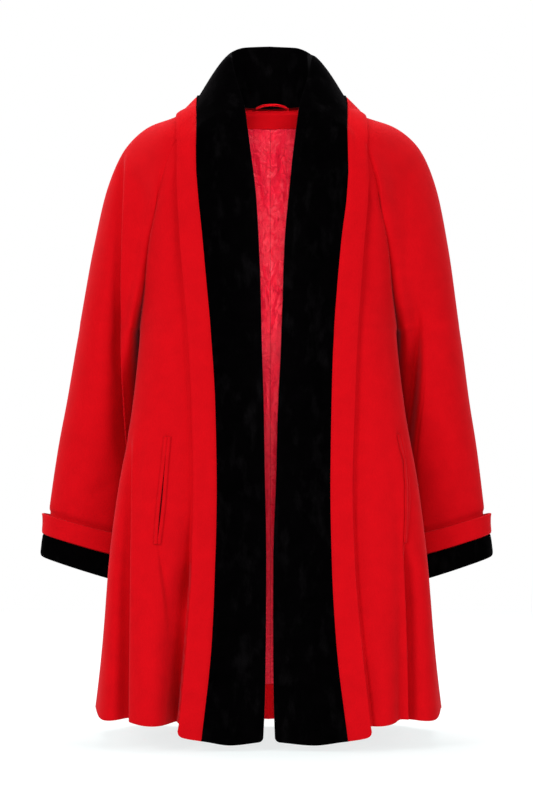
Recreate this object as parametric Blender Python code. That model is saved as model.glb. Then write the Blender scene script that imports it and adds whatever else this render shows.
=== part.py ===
"""Wool swing coat with raglan sleeves and a full-length shawl collar of velvet and wool.

Metres, +Z up. The front faces -Y and the wearer's left is +X. The origin is the middle of the
neck opening, level with the tops of the shoulders. Every piece is a wall of cloth: a grid of
points worked out from the tables of sections below, thickened along the cloth's own normals.
"""
import math

import bmesh
import bpy
import numpy as np
from mathutils import Vector

RIGHT = -1
LEFT = 1

WOOL_WALL = 0.0025
BAND_WALL = 0.0030
LIP_WALL = 0.0018
FACING_WALL = 0.0020
LINING_WALL = 0.0012
SEAM_GAP = 0.0004
INSIDE_GAP = 0.0014

RED_WOOL = (0.72, 0.007, 0.010)
BLACK_VELVET = (0.004, 0.003, 0.004)
RED_SATIN = (0.70, 0.012, 0.045)


class Table:
    """Rows of named columns, read at any fractional row with no overshoot between rows."""

    def __init__(self, columns, rows):
        self.values = {name: [row[i] for row in rows] for i, name in enumerate(columns)}
        self.slopes = {name: self.slopes_of(line) for name, line in self.values.items()}
        self.last = len(rows) - 1

    @staticmethod
    def slopes_of(line):
        steps = [after - before for before, after in zip(line, line[1:])]
        slopes = [steps[0]]
        for before, after in zip(steps, steps[1:]):
            turns = before * after <= 0
            slopes.append(0.0 if turns else 2 * before * after / (before + after))
        return slopes + [steps[-1]]

    def read(self, name, at):
        line, slopes = self.values[name], self.slopes[name]
        row = min(max(int(math.floor(at)), 0), self.last - 1)
        t = at - row
        if t > 1:
            return line[row + 1] + slopes[row + 1] * (t - 1)
        return (line[row] * (1 + 2 * t) * (1 - t) ** 2 + slopes[row] * t * (1 - t) ** 2
                + line[row + 1] * t * t * (3 - 2 * t) - slopes[row + 1] * t * t * (1 - t))

    def row_at(self, name, value):
        """The fractional row at which a falling column passes a value."""
        line = self.values[name]
        for row in range(self.last):
            if value >= line[row + 1]:
                return row + (line[row] - value) / (line[row] - line[row + 1])
        return self.last + (line[-1] - value) / (line[-2] - line[-1])


# The two fronts. Each section is one cubic curve. It leaves the front edge at edge_y towards
# (breast_x, breast_y), passes (fold_x, fold_y) four fifths of the way along, where the cloth
# folds round to the side, and ends on the raglan or side seam.
PANEL_COLUMNS = ("edge_z", "edge_y", "breast_x", "breast_y", "fold_x", "fold_y")
FRONT = Table(PANEL_COLUMNS, (
    (-0.052, -0.081, 0.055, -0.086, 0.0895, -0.0575),
    (-0.080, -0.092, 0.068, -0.100, 0.1080, -0.0825),
    (-0.115, -0.101, 0.075, -0.108, 0.1265, -0.0985),
    (-0.165, -0.109, 0.085, -0.117, 0.1480, -0.1040),
    (-0.220, -0.115, 0.096, -0.124, 0.1720, -0.0940),
    (-0.285, -0.119, 0.104, -0.129, 0.1810, -0.0780),
    (-0.330, -0.121, 0.107, -0.132, 0.1865, -0.0740),
    (-0.340, -0.122, 0.107, -0.133, 0.1875, -0.0740),
    (-0.375, -0.124, 0.107, -0.135, 0.1910, -0.0765),
    (-0.460, -0.131, 0.107, -0.141, 0.2010, -0.0870),
    (-0.560, -0.140, 0.107, -0.149, 0.2180, -0.1000),
    (-0.670, -0.151, 0.107, -0.158, 0.2310, -0.1080),
    (-0.790, -0.164, 0.108, -0.170, 0.2405, -0.1120),
    (-0.906, -0.177, 0.110, -0.184, 0.2500, -0.1150),
))

# The back, from the centre back to the raglan or side seam, drawn in the same way.
BACK = Table(PANEL_COLUMNS, (
    (0.001, 0.070, 0.040, 0.072, 0.0785, 0.0540),
    (-0.030, 0.088, 0.050, 0.094, 0.0995, 0.0830),
    (-0.075, 0.105, 0.062, 0.112, 0.1215, 0.1060),
    (-0.130, 0.118, 0.072, 0.125, 0.1420, 0.1180),
    (-0.200, 0.127, 0.088, 0.135, 0.1680, 0.1080),
    (-0.280, 0.133, 0.098, 0.142, 0.1800, 0.0900),
    (-0.330, 0.135, 0.103, 0.145, 0.1865, 0.0830),
    (-0.340, 0.136, 0.104, 0.146, 0.1880, 0.0830),
    (-0.375, 0.138, 0.105, 0.148, 0.1920, 0.0860),
    (-0.460, 0.143, 0.107, 0.153, 0.2020, 0.0960),
    (-0.560, 0.150, 0.109, 0.160, 0.2190, 0.1080),
    (-0.670, 0.158, 0.111, 0.168, 0.2320, 0.1180),
    (-0.790, 0.170, 0.113, 0.180, 0.2420, 0.1240),
    (-0.934, 0.186, 0.116, 0.194, 0.2520, 0.1280),
))
BREAST_ACROSS = 0.25
FOLD_ACROSS = 0.8

# The raglan seams of front and back down to the underarm, and from there the one side seam.
SEAMS = Table(("front_x", "front_y", "front_z", "back_x", "back_y", "back_z"), (
    (0.100, -0.045, -0.010, 0.090, 0.046, 0.000),
    (0.122, -0.072, -0.033, 0.116, 0.076, -0.024),
    (0.142, -0.090, -0.067, 0.140, 0.099, -0.061),
    (0.160, -0.093, -0.126, 0.160, 0.107, -0.120),
    (0.172, -0.070, -0.202, 0.172, 0.088, -0.200),
    (0.181, -0.035, -0.284, 0.181, 0.045, -0.284),
    (0.187, 0.000, -0.330, 0.187, 0.000, -0.330),
    (0.181, 0.000, -0.339, 0.181, 0.000, -0.339),
    (0.178, 0.000, -0.375, 0.178, 0.000, -0.375),
    (0.180, 0.000, -0.460, 0.180, 0.000, -0.460),
    (0.187, 0.000, -0.560, 0.187, 0.000, -0.560),
    (0.198, 0.000, -0.670, 0.198, 0.000, -0.670),
    (0.222, 0.000, -0.790, 0.222, 0.000, -0.790),
    (0.246, 0.000, -0.899, 0.246, 0.000, -0.899),
))
UNDERARM = 6
HEM = 13

# The sleeves down to the underarm: where each section crosses the shoulder line, how far it
# bulges to front and back, how far it turns away from the body at the seam, and how much of the
# chest's own direction it keeps there.
SLEEVE = Table(
    ("outer_right", "outer_left", "outer_z", "front_bulge", "back_bulge", "turn", "pull"), (
        (0.097, 0.101, 0.003, 0.030, 0.030, 0.000, 1.00),
        (0.139, 0.145, -0.016, 0.046, 0.046, 0.000, 1.00),
        (0.176, 0.185, -0.029, 0.056, 0.060, 0.000, 0.90),
        (0.212, 0.223, -0.060, 0.066, 0.074, 0.005, 0.70),
        (0.240, 0.250, -0.120, 0.074, 0.088, 0.028, 0.35),
        (0.261, 0.268, -0.208, 0.080, 0.100, 0.050, 0.10),
        (0.281, 0.284, -0.322, 0.084, 0.106, 0.050, 0.00),
    ))

# Below the underarm the sleeve is a closed tube, with its seam on the inner side. The cuffs' edges
# and seam are stations along it.
TUBE = Table(
    ("inner_x", "inner_z", "outer_right", "outer_left", "outer_z", "front_bulge", "back_bulge",
     "turn", "middle_y"), (
        (0.187, -0.330, 0.281, 0.284, -0.322, 0.084, 0.106, 0.050, 0.000),
        (0.1925, -0.339, 0.282, 0.285, -0.331, 0.084, 0.105, 0.040, -0.001),
        (0.193, -0.375, 0.288, 0.290, -0.366, 0.083, 0.102, 0.030, -0.003),
        (0.199, -0.450, 0.300, 0.299, -0.436, 0.077, 0.090, 0.015, -0.006),
        (0.206, -0.530, 0.3135, 0.3100, -0.508, 0.067, 0.076, 0.006, -0.008),
        (0.212, -0.612, 0.3245, 0.3190, -0.582, 0.057, 0.060, 0.000, -0.008),
        (0.217, -0.705, 0.3350, 0.3295, -0.668, 0.050, 0.048, 0.000, -0.008),
    ))
SLEEVE_END = 5.88
CUFF_TOP = 5.33
CUFF_LINE = 5.65
CUFF_END = 6.0
CUFF_SEAM = 0.006
CUFF_GAP = 0.0014

# The shawl collar below the neck, level by level: its roll, which is the coat's front edge, the
# seam from velvet to border, and the border's free edge. The section drops outwards near the neck.
BAND = Table((
    "z", "roll_right", "seam_right", "free_right", "roll_left", "seam_left", "free_left",
    "drop"), (
    (-0.085, 0.0245, 0.1060, 0.1335, 0.0350, 0.1165, 0.1450, 0.022),
    (-0.130, 0.0190, 0.1030, 0.1325, 0.0305, 0.1140, 0.1440, 0.012),
    (-0.200, 0.0145, 0.0965, 0.1290, 0.0240, 0.1065, 0.1390, 0.004),
    (-0.330, 0.0100, 0.0855, 0.1180, 0.0190, 0.0960, 0.1300, 0.000),
    (-0.450, 0.0070, 0.0785, 0.1125, 0.0140, 0.0925, 0.1255, 0.000),
    (-0.570, 0.0045, 0.0765, 0.1100, 0.0100, 0.0910, 0.1225, 0.000),
    (-0.680, 0.0035, 0.0785, 0.1120, 0.0070, 0.0930, 0.1260, 0.000),
    (-0.790, 0.0040, 0.0830, 0.1190, 0.0065, 0.0990, 0.1350, 0.000),
    (-0.880, 0.0055, 0.0920, 0.1270, 0.0075, 0.1090, 0.1445, 0.000),
    (-0.928, 0.0075, 0.0980, 0.1320, 0.0090, 0.1160, 0.1490, 0.000),
))
NOSE_RADIUS = 0.0045
PANEL_TUCK = 0.0100
NECK_FLARE = 0.16
BAND_LIFT = 0.0055
FREE_LIFT = 0.0048
LOWEST_FRONT = -0.904

# How far the collar's lower edge hangs below its last level, at even steps from the roll over
# the seam to the free edge.
HEM_CURVE = Table(("sag",), ((-0.0065,), (0.0095,), (0.0030,), (0.0000,), (-0.0040,)))

# The collar round the neck, from the centre back to the collarbone. Each row gives the foot at
# the neck seam, the roll, the middle of the fall, the seam to the border and the free edge, and
# how far the whole section sits off the middle.
NECK = Table(tuple(f"{part}_{axis}" for part in ("foot", "roll", "fall", "seam", "free")
                   for axis in "xyz") + ("shift",), (
    (0.000, 0.066, 0.004, 0.000, 0.084, 0.098, 0.000, 0.109, 0.066,
     0.000, 0.107, 0.026, 0.000, 0.098, -0.010, 0.002),
    (0.042, 0.056, 0.006, 0.037, 0.076, 0.096, 0.052, 0.098, 0.063,
     0.060, 0.098, 0.023, 0.069, 0.094, -0.013, 0.002),
    (0.068, 0.034, 0.010, 0.059, 0.050, 0.090, 0.083, 0.066, 0.057,
     0.094, 0.068, 0.020, 0.112, 0.070, -0.010, 0.002),
    (0.078, 0.002, 0.014, 0.0615, 0.016, 0.077, 0.094, 0.010, 0.048,
     0.1075, 0.006, 0.019, 0.1345, 0.004, -0.008, 0.0045),
    (0.072, -0.030, 0.004, 0.0545, -0.026, 0.044, 0.090, -0.038, 0.021,
     0.1105, -0.048, -0.006, 0.1370, -0.048, -0.029, 0.005),
    (0.055, -0.056, -0.018, 0.0430, -0.060, 0.004, 0.079, -0.081, -0.015,
     0.1110, -0.090, -0.038, 0.1385, -0.087, -0.061, 0.005),
))
ROLL_ACROSS = 0.35
NOSE_ACROSS = 0.46
SHOULDER_LIFT = 0.0060
SHOULDER_STATION = 3.5
SHOULDER_STEPS = 20

# Vertical folds that open towards the hem: how far across the panel from its edge each one lies,
# where it starts, how deep it is at the hem (out is positive), how wide it is, and how much lower
# the hem hangs in it.
FOLD_COLUMNS = ("panel", "side", "across", "top_z", "depth", "width", "drop")
FOLDS = (
    ("front", RIGHT, 0.45, -0.55, 0.008, 0.09, 0.007),
    ("front", RIGHT, 0.58, -0.42, -0.017, 0.045, -0.003),
    ("front", RIGHT, 0.70, -0.50, 0.005, 0.09, 0.004),
    ("front", RIGHT, 0.83, -0.50, 0.000, 0.08, -0.008),
    ("front", LEFT, 0.41, -0.50, 0.008, 0.09, 0.007),
    ("front", LEFT, 0.535, -0.46, -0.017, 0.045, -0.003),
    ("front", LEFT, 0.69, -0.50, 0.006, 0.09, 0.004),
    ("front", LEFT, 0.83, -0.50, 0.000, 0.08, -0.008),
    ("back", RIGHT, 0.18, -0.42, 0.012, 0.10, 0.004),
    ("back", RIGHT, 0.34, -0.50, -0.014, 0.08, -0.004),
    ("back", RIGHT, 0.52, -0.36, 0.012, 0.11, 0.003),
    ("back", RIGHT, 0.70, -0.55, -0.010, 0.08, -0.003),
    ("back", LEFT, 0.15, -0.46, 0.011, 0.10, 0.004),
    ("back", LEFT, 0.31, -0.54, -0.013, 0.08, -0.004),
    ("back", LEFT, 0.49, -0.38, 0.013, 0.11, 0.003),
    ("back", LEFT, 0.67, -0.50, -0.011, 0.08, -0.003),
)
FOLD_FULL_Z = -0.92

# Jetted pockets, as x and z along the slit in each front, from its top. The left one bends where
# the cloth folds round to the side.
POCKETS = {
    RIGHT: ((0.1470, -0.493), (0.1612, -0.648)),
    LEFT: ((0.1870, -0.490), (0.1955, -0.527), (0.1985, -0.565), (0.1980, -0.606),
           (0.1950, -0.646)),
}
POCKET_ROWS = 6
LIP_WIDTH = 0.0055
LIP_LIFT = 0.0030
SLIT = 0.0010

# The hanger loop: the middle of the line through its ends, its half length, and its bow away
# from the facing and upwards.
LOOP_CENTRE = (0.0055, 0.0600, 0.0003)
LOOP_HALF = 0.0240
LOOP_BOW = (-0.0050, 0.0087)
LOOP_RADIUS = 0.0020
LOOP_STEPS = 8

# Where the grids have their rows and columns.
RAGLAN_ROWS = [UNDERARM * i / 9 for i in range(10)]
BODY_ROWS = RAGLAN_ROWS + [7, 8, 9, 10, 11, 12, 12.5, HEM]
FRONT_ACROSS = [0, 0.15, 0.28, 0.38, 0.46, 0.535, 0.58, 0.64, 0.73, 0.82, 0.91, 1]
BACK_ACROSS = [0, 0.13, 0.26, 0.38, 0.50, 0.61, 0.71, 0.81, 0.91, 1]
TUBE_ROWS = [1, 2, 3, 4, 5, SLEEVE_END]
FACING_ROWS = [0.02, RAGLAN_ROWS[1], 0.87]
LINING_ROWS = [0.88] + BODY_ROWS[2:-1] + [12.65]
HEM_FACING_ROWS = [12.66, 12.98]
INSIDE_ACROSS = BACK_ACROSS[:-1]
AROUND = [i / 14 for i in range(15)]
VELVET_ACROSS = [0, 0.12, 0.24, ROLL_ACROSS, NOSE_ACROSS, 0.62, 0.81, 1]
BORDER_ACROSS = [0, 0.5, 1]
COLLAR_ROWS = [0, 0.5, 1, 1.5, 2, 2.5, 3, 3.5, 4, 4.5, 5, 5.5] + [6 + row for row in range(10)]
BAND_START = 6


def cubic(controls, t):
    """A point on the cubic curve of four control points."""
    first, second, third, fourth = controls
    return ((1 - t) ** 3 * first + 3 * (1 - t) ** 2 * t * second
            + 3 * (1 - t) * t * t * third + t ** 3 * fourth)


def unit(vectors):
    """Vectors of length one, along the last axis of an array."""
    return vectors / np.maximum(np.linalg.norm(vectors, axis=-1, keepdims=True), 1e-12)


def side_name(side):
    """The wearer's side, as the end of a piece's name."""
    return "left" if side == LEFT else "right"


def band_x(side, part, z):
    """How far the collar's roll, seam or free edge stands from the middle at one height."""
    return BAND.read(f"{part}_{side_name(side)}", max(BAND.row_at("z", z), 0.0))


def fold_pull(panel, side, across, z):
    """How far the vertical folds push the cloth out, and down, at one point."""
    lift = drop = 0.0
    for row in FOLDS:
        fold = dict(zip(FOLD_COLUMNS, row))
        fall = (fold["top_z"] - z) / (fold["top_z"] - FOLD_FULL_Z)
        if fold["panel"] == panel and fold["side"] == side and fall > 0:
            near = (across - fold["across"]) / fold["width"]
            share = min(fall, 1.1) ** 1.3 * math.exp(-near * near)
            lift += fold["depth"] * share
            drop += fold["drop"] * share * fall ** 3
    return lift, drop


def section_controls(panel, side, station):
    """The four control points of one panel's section at a station."""
    table = FRONT if panel == "front" else BACK
    z = table.read("edge_z", station)
    edge_x = 0.0
    if panel == "front":
        above = max(z - BAND.read("z", 0), 0.0)
        edge_x = band_x(side, "roll", z) + PANEL_TUCK + NECK_FLARE * above
    edge = np.array((side * edge_x, table.read("edge_y", station), z))
    seam = np.array([SEAMS.read(f"{panel}_{axis}", station) for axis in "xyz"])
    seam[0] *= side

    def place(name, share):
        x, y = table.read(name + "_x", station), table.read(name + "_y", station)
        return np.array((side * x, y, edge[2] + (seam[2] - edge[2]) * share))

    breast, fold = place("breast", BREAST_ACROSS), place("fold", FOLD_ACROSS)
    t = FOLD_ACROSS
    pull = ((fold - (1 - t) ** 3 * edge - 3 * (1 - t) ** 2 * t * breast - t ** 3 * seam)
            / (3 * (1 - t) * t * t))
    return edge, breast, pull, seam


def panel_point(panel, side, station, across):
    """A point of the front or back, across from its edge (0) to its seam (1)."""
    controls = section_controls(panel, side, station)
    point = cubic(controls, across)
    lift, drop = fold_pull(panel, side, across, point[2])
    run = unit(cubic(controls, across + 0.01) - cubic(controls, across - 0.01))
    forward = side if panel == "front" else -side
    return point + np.array((run[1] * forward * lift, -run[0] * forward * lift, -drop))


def find_on_front(side, x, z):
    """The station and the place across at which one front passes x and z."""
    station, across = FRONT.row_at("edge_z", z), 0.5
    for _ in range(7):
        low, high = -0.02, 0.86
        for _ in range(16):
            across = (low + high) / 2
            if side * panel_point("front", side, station, across)[0] < x:
                low = across
            else:
                high = across
        station = max(station + (panel_point("front", side, station, across)[2] - z) * 12, 0)
    return station, across


def panel_normal(panel, side, station, across):
    """The cloth's outward direction at a point of the front or back."""
    run = (panel_point(panel, side, station, across + 0.01)
           - panel_point(panel, side, station, across - 0.01))
    fall = (panel_point(panel, side, station + 0.03, across)
            - panel_point(panel, side, max(station - 0.03, 0.0), across))
    return unit(np.cross(fall, run)) * (side if panel == "front" else -side)


def moved_out(side, station, across, lift):
    """A point of one front, moved out along the cloth's normal."""
    return (panel_point("front", side, station, across)
            + panel_normal("front", side, station, across) * lift)


def on_front(side, x, z, lift):
    """The point over one front that lies x from the middle at height z, or below its hem."""
    level = max(z, LOWEST_FRONT)
    point = moved_out(side, *find_on_front(side, x, level), lift)
    return point + np.array((0.0, 0.0, z - level))


def sleeve_point(side, station, around):
    """A point of the sleeve above the underarm, from its front seam (0) to its back seam (1)."""
    forward, panel = (-1, "front") if around < 0.5 else (1, "back")
    outer = np.array((side * SLEEVE.read("outer_" + side_name(side), station), 0.0,
                      SLEEVE.read("outer_z", station)))
    _, _, before, seam = section_controls(panel, side, station)
    pull = SLEEVE.read("pull", station)
    bulge = np.array((0.0, forward * SLEEVE.read(panel + "_bulge", station), 0.0))
    turn = np.array((side * SLEEVE.read("turn", station), 0.0, 0.0))
    along_chest = unit(seam - before) * np.linalg.norm(outer - seam) * 0.40
    handle = seam + along_chest * pull + bulge * (1 - pull) + turn
    crown = outer + bulge * (1 - 0.45 * pull)
    return cubic((seam, handle, crown, outer), 2 * min(around, 1 - around))


def tube_point(side, station, around):
    """A point of the sleeve below the underarm, round from its seam by the front."""
    forward, panel = (-1, "front") if around < 0.5 else (1, "back")
    middle = TUBE.read("middle_y", station)
    inner = np.array((side * TUBE.read("inner_x", station), middle,
                      TUBE.read("inner_z", station)))
    outer = np.array((side * TUBE.read("outer_" + side_name(side), station), middle,
                      TUBE.read("outer_z", station)))
    bulge = np.array((0.0, forward * TUBE.read(panel + "_bulge", station), 0.0))
    turn = np.array((side * TUBE.read("turn", station), 0.0, 0.0))
    return cubic((inner, inner + bulge + turn, outer + bulge, outer),
                 2 * min(around, 1 - around))


def neck_row(side, station):
    """The collar's section round the neck: stand, roll and fall of the velvet, then the border."""
    parts = []
    for part in ("foot", "roll", "fall", "seam", "free"):
        x, y, z = (NECK.read(f"{part}_{axis}", station) for axis in "xyz")
        parts.append(np.array((side * x + NECK.read("shift", station), y, z)))
    foot, roll, fall, seam, free = parts
    stand, out = roll - foot, unit(seam - foot)
    inside = (foot, foot + stand * 0.5 - out * 0.004, roll - stand * 0.22 - out * 0.002, roll)
    crest = roll + stand * 0.12 + out * 0.012
    middle = (8 * fall - roll - 3 * crest - seam) / 3
    outside = (roll, crest, middle, seam)
    velvet = [cubic(inside, a / ROLL_ACROSS) if a <= ROLL_ACROSS
              else cubic(outside, (a - ROLL_ACROSS) / (1 - ROLL_ACROSS)) for a in VELVET_ACROSS]
    border = [seam + (free - seam) * a for a in BORDER_ACROSS]
    return np.array(velvet + border)


def band_row(side, station):
    """The collar's section lying on the front: a rounded nose at the roll, then flat."""
    roll, seam, free = (BAND.read(f"{part}_{side_name(side)}", station)
                        for part in ("roll", "seam", "free"))
    at_hem = max(station - BAND.last + 1, 0.0) ** 2

    def level(reach):
        """The height at a place between the roll (0), the seam (1) and the free edge (2)."""
        slope = reach if reach < 1 else 1 + 0.3 * (reach - 1)
        return (BAND.read("z", station) - BAND.read("drop", station) * slope
                - HEM_CURVE.read("sag", 2 * reach) * at_hem)

    middle = on_front(side, roll + PANEL_TUCK, level(0), 0.0)
    middle[0] = side * (roll + NOSE_RADIUS + BAND_WALL / 2)
    middle[1] += NOSE_RADIUS - BAND_LIFT
    points = []
    for across in VELVET_ACROSS:
        if across <= NOSE_ACROSS:
            turn = math.pi * across / NOSE_ACROSS
            points.append(middle + np.array((-side * math.sin(turn), math.cos(turn), 0.0))
                          * NOSE_RADIUS)
        else:
            reach = (across - NOSE_ACROSS) / (1 - NOSE_ACROSS)
            start = side * middle[0]
            x = start + (seam - start) * reach
            points.append(on_front(side, x, level(reach), BAND_LIFT))
    for across in BORDER_ACROSS:
        lift = BAND_LIFT + (FREE_LIFT - BAND_LIFT) * across
        points.append(on_front(side, seam + (free - seam) * across, level(1 + across), lift))
    return np.array(points)


def shoulder_samples(side):
    """Points and normals of the cloth under the collar: front, sleeve and back of one side."""
    points, normals = [], []
    steps = [i / SHOULDER_STEPS for i in range(SHOULDER_STEPS + 1)]
    stations = [SHOULDER_STATION * step for step in steps]
    for place, flip in ((lambda s, a: panel_point("front", side, s, a), side),
                        (lambda s, a: sleeve_point(side, s, a), side),
                        (lambda s, a: panel_point("back", side, s, a), -side)):
        grid = grid_of(stations, steps, place)
        points.append(grid.reshape(-1, 3))
        normals.append(normals_of(grid, flip).reshape(-1, 3))
    return np.concatenate(points), np.concatenate(normals)


def lifted_clear(row, samples):
    """A row of the collar's points, each moved out where it would touch the shoulder."""
    points, normals = samples
    lifted = row.copy()
    for index in range(VELVET_ACROSS.index(ROLL_ACROSS) + 1, len(row)):
        for _ in range(2):
            nearest = np.argmin(np.linalg.norm(points - lifted[index], axis=1))
            height = np.dot(lifted[index] - points[nearest], normals[nearest])
            lifted[index] += normals[nearest] * max(SHOULDER_LIFT - height, 0.0)
    return lifted


def collar_grid(side):
    """All rows of one half of the collar, from the centre back to the hem."""
    last = NECK.last
    samples = shoulder_samples(side)
    ends = [neck_row(side, last - 0.5), neck_row(side, last),
            band_row(side, 0), band_row(side, 0.5)]
    rows = []
    for station in COLLAR_ROWS:
        if station <= last:
            row = neck_row(side, station)
        elif station < BAND_START:
            lead_in = ends[1] + (ends[1] - ends[0]) * 2 / 3
            lead_out = ends[2] - (ends[3] - ends[2]) * 2 / 3
            row = cubic((ends[1], lead_in, lead_out, ends[2]), station - last)
        else:
            row = band_row(side, station - BAND_START)
        rows.append(lifted_clear(row, samples) if station < BAND_START + 2 else row)
    return np.array(rows)


def grid_of(rows, columns, place):
    """An array of points: place(row, column) for each pair."""
    return np.array([[place(row, column) for column in columns] for row in rows])


def normals_of(points, flip, closed=False):
    """Unit normals of a grid of points; closed says that its last column is its first."""
    down = np.gradient(points, axis=0)
    step = np.gradient(points, axis=1)
    if closed:
        step[:, 0] = step[:, -1] = (points[:, 1] - points[:, -2]) / 2
    return unit(np.cross(down, step)) * flip


def draw_in(points, normals, column, amount=SEAM_GAP):
    """Moves an edge column of a grid off its seam, square to the seam and to the wall there."""
    neighbour = points[:, 1 if column == 0 else -2]
    along = np.gradient(points[:, column], axis=0)
    square = unit(np.cross(along, normals[:, column]))
    inward = np.sum(square * (neighbour - points[:, column]), axis=-1, keepdims=True)
    points[:, column] += square * np.sign(inward) * amount


def material_for(name, colour):
    """One piece's cloth."""
    material = bpy.data.materials.new(name)
    material.use_nodes = True
    shader = material.node_tree.nodes["Principled BSDF"]
    shader.inputs["Base Color"].default_value = (*colour, 1.0)
    shader.inputs["Roughness"].default_value = 0.45 if colour == RED_SATIN else 0.9
    shader.inputs["Metallic"].default_value = 0.0
    shader.inputs["Sheen Weight"].default_value = 0.3 if colour == BLACK_VELVET else 0.1
    material.diffuse_color = (*colour, 1.0)
    return material


def cloth_wall(name, points, normals, low, high, colour, tube=False):
    """One piece: the grid's cloth from low to high along its normals, as one closed solid.

    A tube's first and last columns meet, wherever they lie on each other, along its seam.
    """
    rows, columns = points.shape[:2]
    sheet = bmesh.new()
    bmesh.ops.create_grid(sheet, x_segments=columns - 1, y_segments=rows - 1, size=0.5)
    order = sorted(sheet.verts, key=lambda v: (-round(v.co.y, 5), round(v.co.x, 5)))
    spans = {}
    for vertex, point, normal in zip(order, points.reshape(-1, 3), normals.reshape(-1, 3)):
        vertex.co = point + normal * low
        spans[vertex.co.copy().freeze()] = normal * (high - low)
    if tube:
        bmesh.ops.remove_doubles(sheet, verts=sheet.verts, dist=0.00001)
    made = bmesh.ops.extrude_face_region(sheet, geom=sheet.faces[:])
    for vertex in [item for item in made["geom"] if isinstance(item, bmesh.types.BMVert)]:
        vertex.co = vertex.co + Vector(spans[vertex.co.copy().freeze()])
    bmesh.ops.recalc_face_normals(sheet, faces=sheet.faces)
    mesh = bpy.data.meshes.new(name)
    sheet.to_mesh(mesh)
    sheet.free()
    mesh.materials.append(material_for(name, colour))
    piece = bpy.data.objects.new(name, mesh)
    bpy.context.collection.objects.link(piece)


def share_seams(panels, sleeves):
    """Gives both sides of each seam one wall direction, so that their edges meet face to face."""
    underarm = len(RAGLAN_ROWS) - 1
    for side in (RIGHT, LEFT):
        front, back, sleeve = panels["front", side][1], panels["back", side][1], sleeves[side][1]
        for row in range(underarm):
            front[row, -1] = sleeve[row, 0] = unit(front[row, -1] + sleeve[row, 0])
            back[row, -1] = sleeve[row, -1] = unit(back[row, -1] + sleeve[row, -1])
        for normals in (front[:, -1], back[:, -1], sleeve[:, 0], sleeve[:, -1]):
            normals[underarm] = (0.0, 0.0, -1.0)
        for row in range(underarm + 1, len(BODY_ROWS)):
            front[row, -1] = back[row, -1] = unit(front[row, -1] + back[row, -1])
        for row in range(underarm + 1, len(sleeve)):
            sleeve[row, 0] = sleeve[row, -1] = unit(sleeve[row, 0] + sleeve[row, -1])


def build_body_and_sleeves():
    """Fronts, back and sleeves, with the seams that they share."""
    panels, sleeves = {}, {}
    for side in (RIGHT, LEFT):
        for panel, columns, flip in (("front", FRONT_ACROSS, side), ("back", BACK_ACROSS, -side)):
            points = grid_of(BODY_ROWS, columns, lambda s, a: panel_point(panel, side, s, a))
            panels[panel, side] = points, normals_of(points, flip)
        points = np.concatenate((
            grid_of(RAGLAN_ROWS, AROUND, lambda s, a: sleeve_point(side, s, a)),
            grid_of(TUBE_ROWS, AROUND, lambda s, a: tube_point(side, s, a))))
        sleeves[side] = points, normals_of(points, side)
    share_seams(panels, sleeves)
    half = WOOL_WALL / 2
    for side in (RIGHT, LEFT):
        for panel, forward in (("front", -1), ("back", 1)):
            points, normals = panels[panel, side]
            draw_in(points, normals, -1)
            points[len(RAGLAN_ROWS) - 1, -1, 1] += forward * SEAM_GAP
        raglan = tuple(part[:len(RAGLAN_ROWS) + 1] for part in sleeves[side])
        tube_seam = raglan[0][-1].copy()
        draw_in(*raglan, 0, 2 * SEAM_GAP)
        draw_in(*raglan, -1, 2 * SEAM_GAP)
        raglan[0][-1] = tube_seam
        cloth_wall("front_" + side_name(side), *panels["front", side], -half, half, RED_WOOL)
        cloth_wall("sleeve_" + side_name(side), *sleeves[side], -half, half, RED_WOOL, tube=True)
    (right, right_normals), (left, left_normals) = panels["back", RIGHT], panels["back", LEFT]
    points = np.concatenate((right[:, ::-1], left[:, 1:]), axis=1)
    left_normals[:, 0] = unit(right_normals[:, 1] + left_normals[:, 1])
    normals = np.concatenate((right_normals[:, :0:-1], left_normals), axis=1)
    cloth_wall("back", points, normals, -half, half, RED_WOOL)


def build_cuffs():
    """Turn-back cuffs: a wool band above and a velvet band below, round the sleeve's end."""
    low = WOOL_WALL / 2 + CUFF_GAP
    for side in (RIGHT, LEFT):
        for cloth, start, end, colour in (("wool", CUFF_TOP, CUFF_LINE, RED_WOOL),
                                          ("velvet", CUFF_LINE + CUFF_SEAM, CUFF_END,
                                           BLACK_VELVET)):
            rows = [start, (start + end) / 2, end]
            points = grid_of(rows, AROUND, lambda s, a: tube_point(side, s, a))
            cloth_wall(f"cuff_{cloth}_{side_name(side)}", points,
                       normals_of(points, side, closed=True), low, low + BAND_WALL, colour,
                       tube=True)


def build_collar():
    """The shawl collar's velvet halves and their wool borders."""
    half = BAND_WALL / 2
    for side in (RIGHT, LEFT):
        grid = collar_grid(side)
        velvet, border = grid[:, :len(VELVET_ACROSS)], grid[:, len(VELVET_ACROSS):]
        velvet_normals, border_normals = normals_of(velvet, side), normals_of(border, side)
        shared = unit(velvet_normals[:, -1] + border_normals[:, 0])
        velvet_normals[:, -1] = border_normals[:, 0] = shared
        for points, normals in ((velvet, velvet_normals), (border, border_normals)):
            points[0, :, 0] += side * SEAM_GAP / 2
            normals[0, :, 0] = 0.0
            normals[0] = unit(normals[0])
        draw_in(velvet, velvet_normals, -1)
        draw_in(border, border_normals, 0)
        cloth_wall("shawl_velvet_" + side_name(side), velvet, velvet_normals,
                   -half, half, BLACK_VELVET)
        cloth_wall("shawl_border_" + side_name(side), border, border_normals,
                   -half, half, RED_WOOL)


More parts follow.
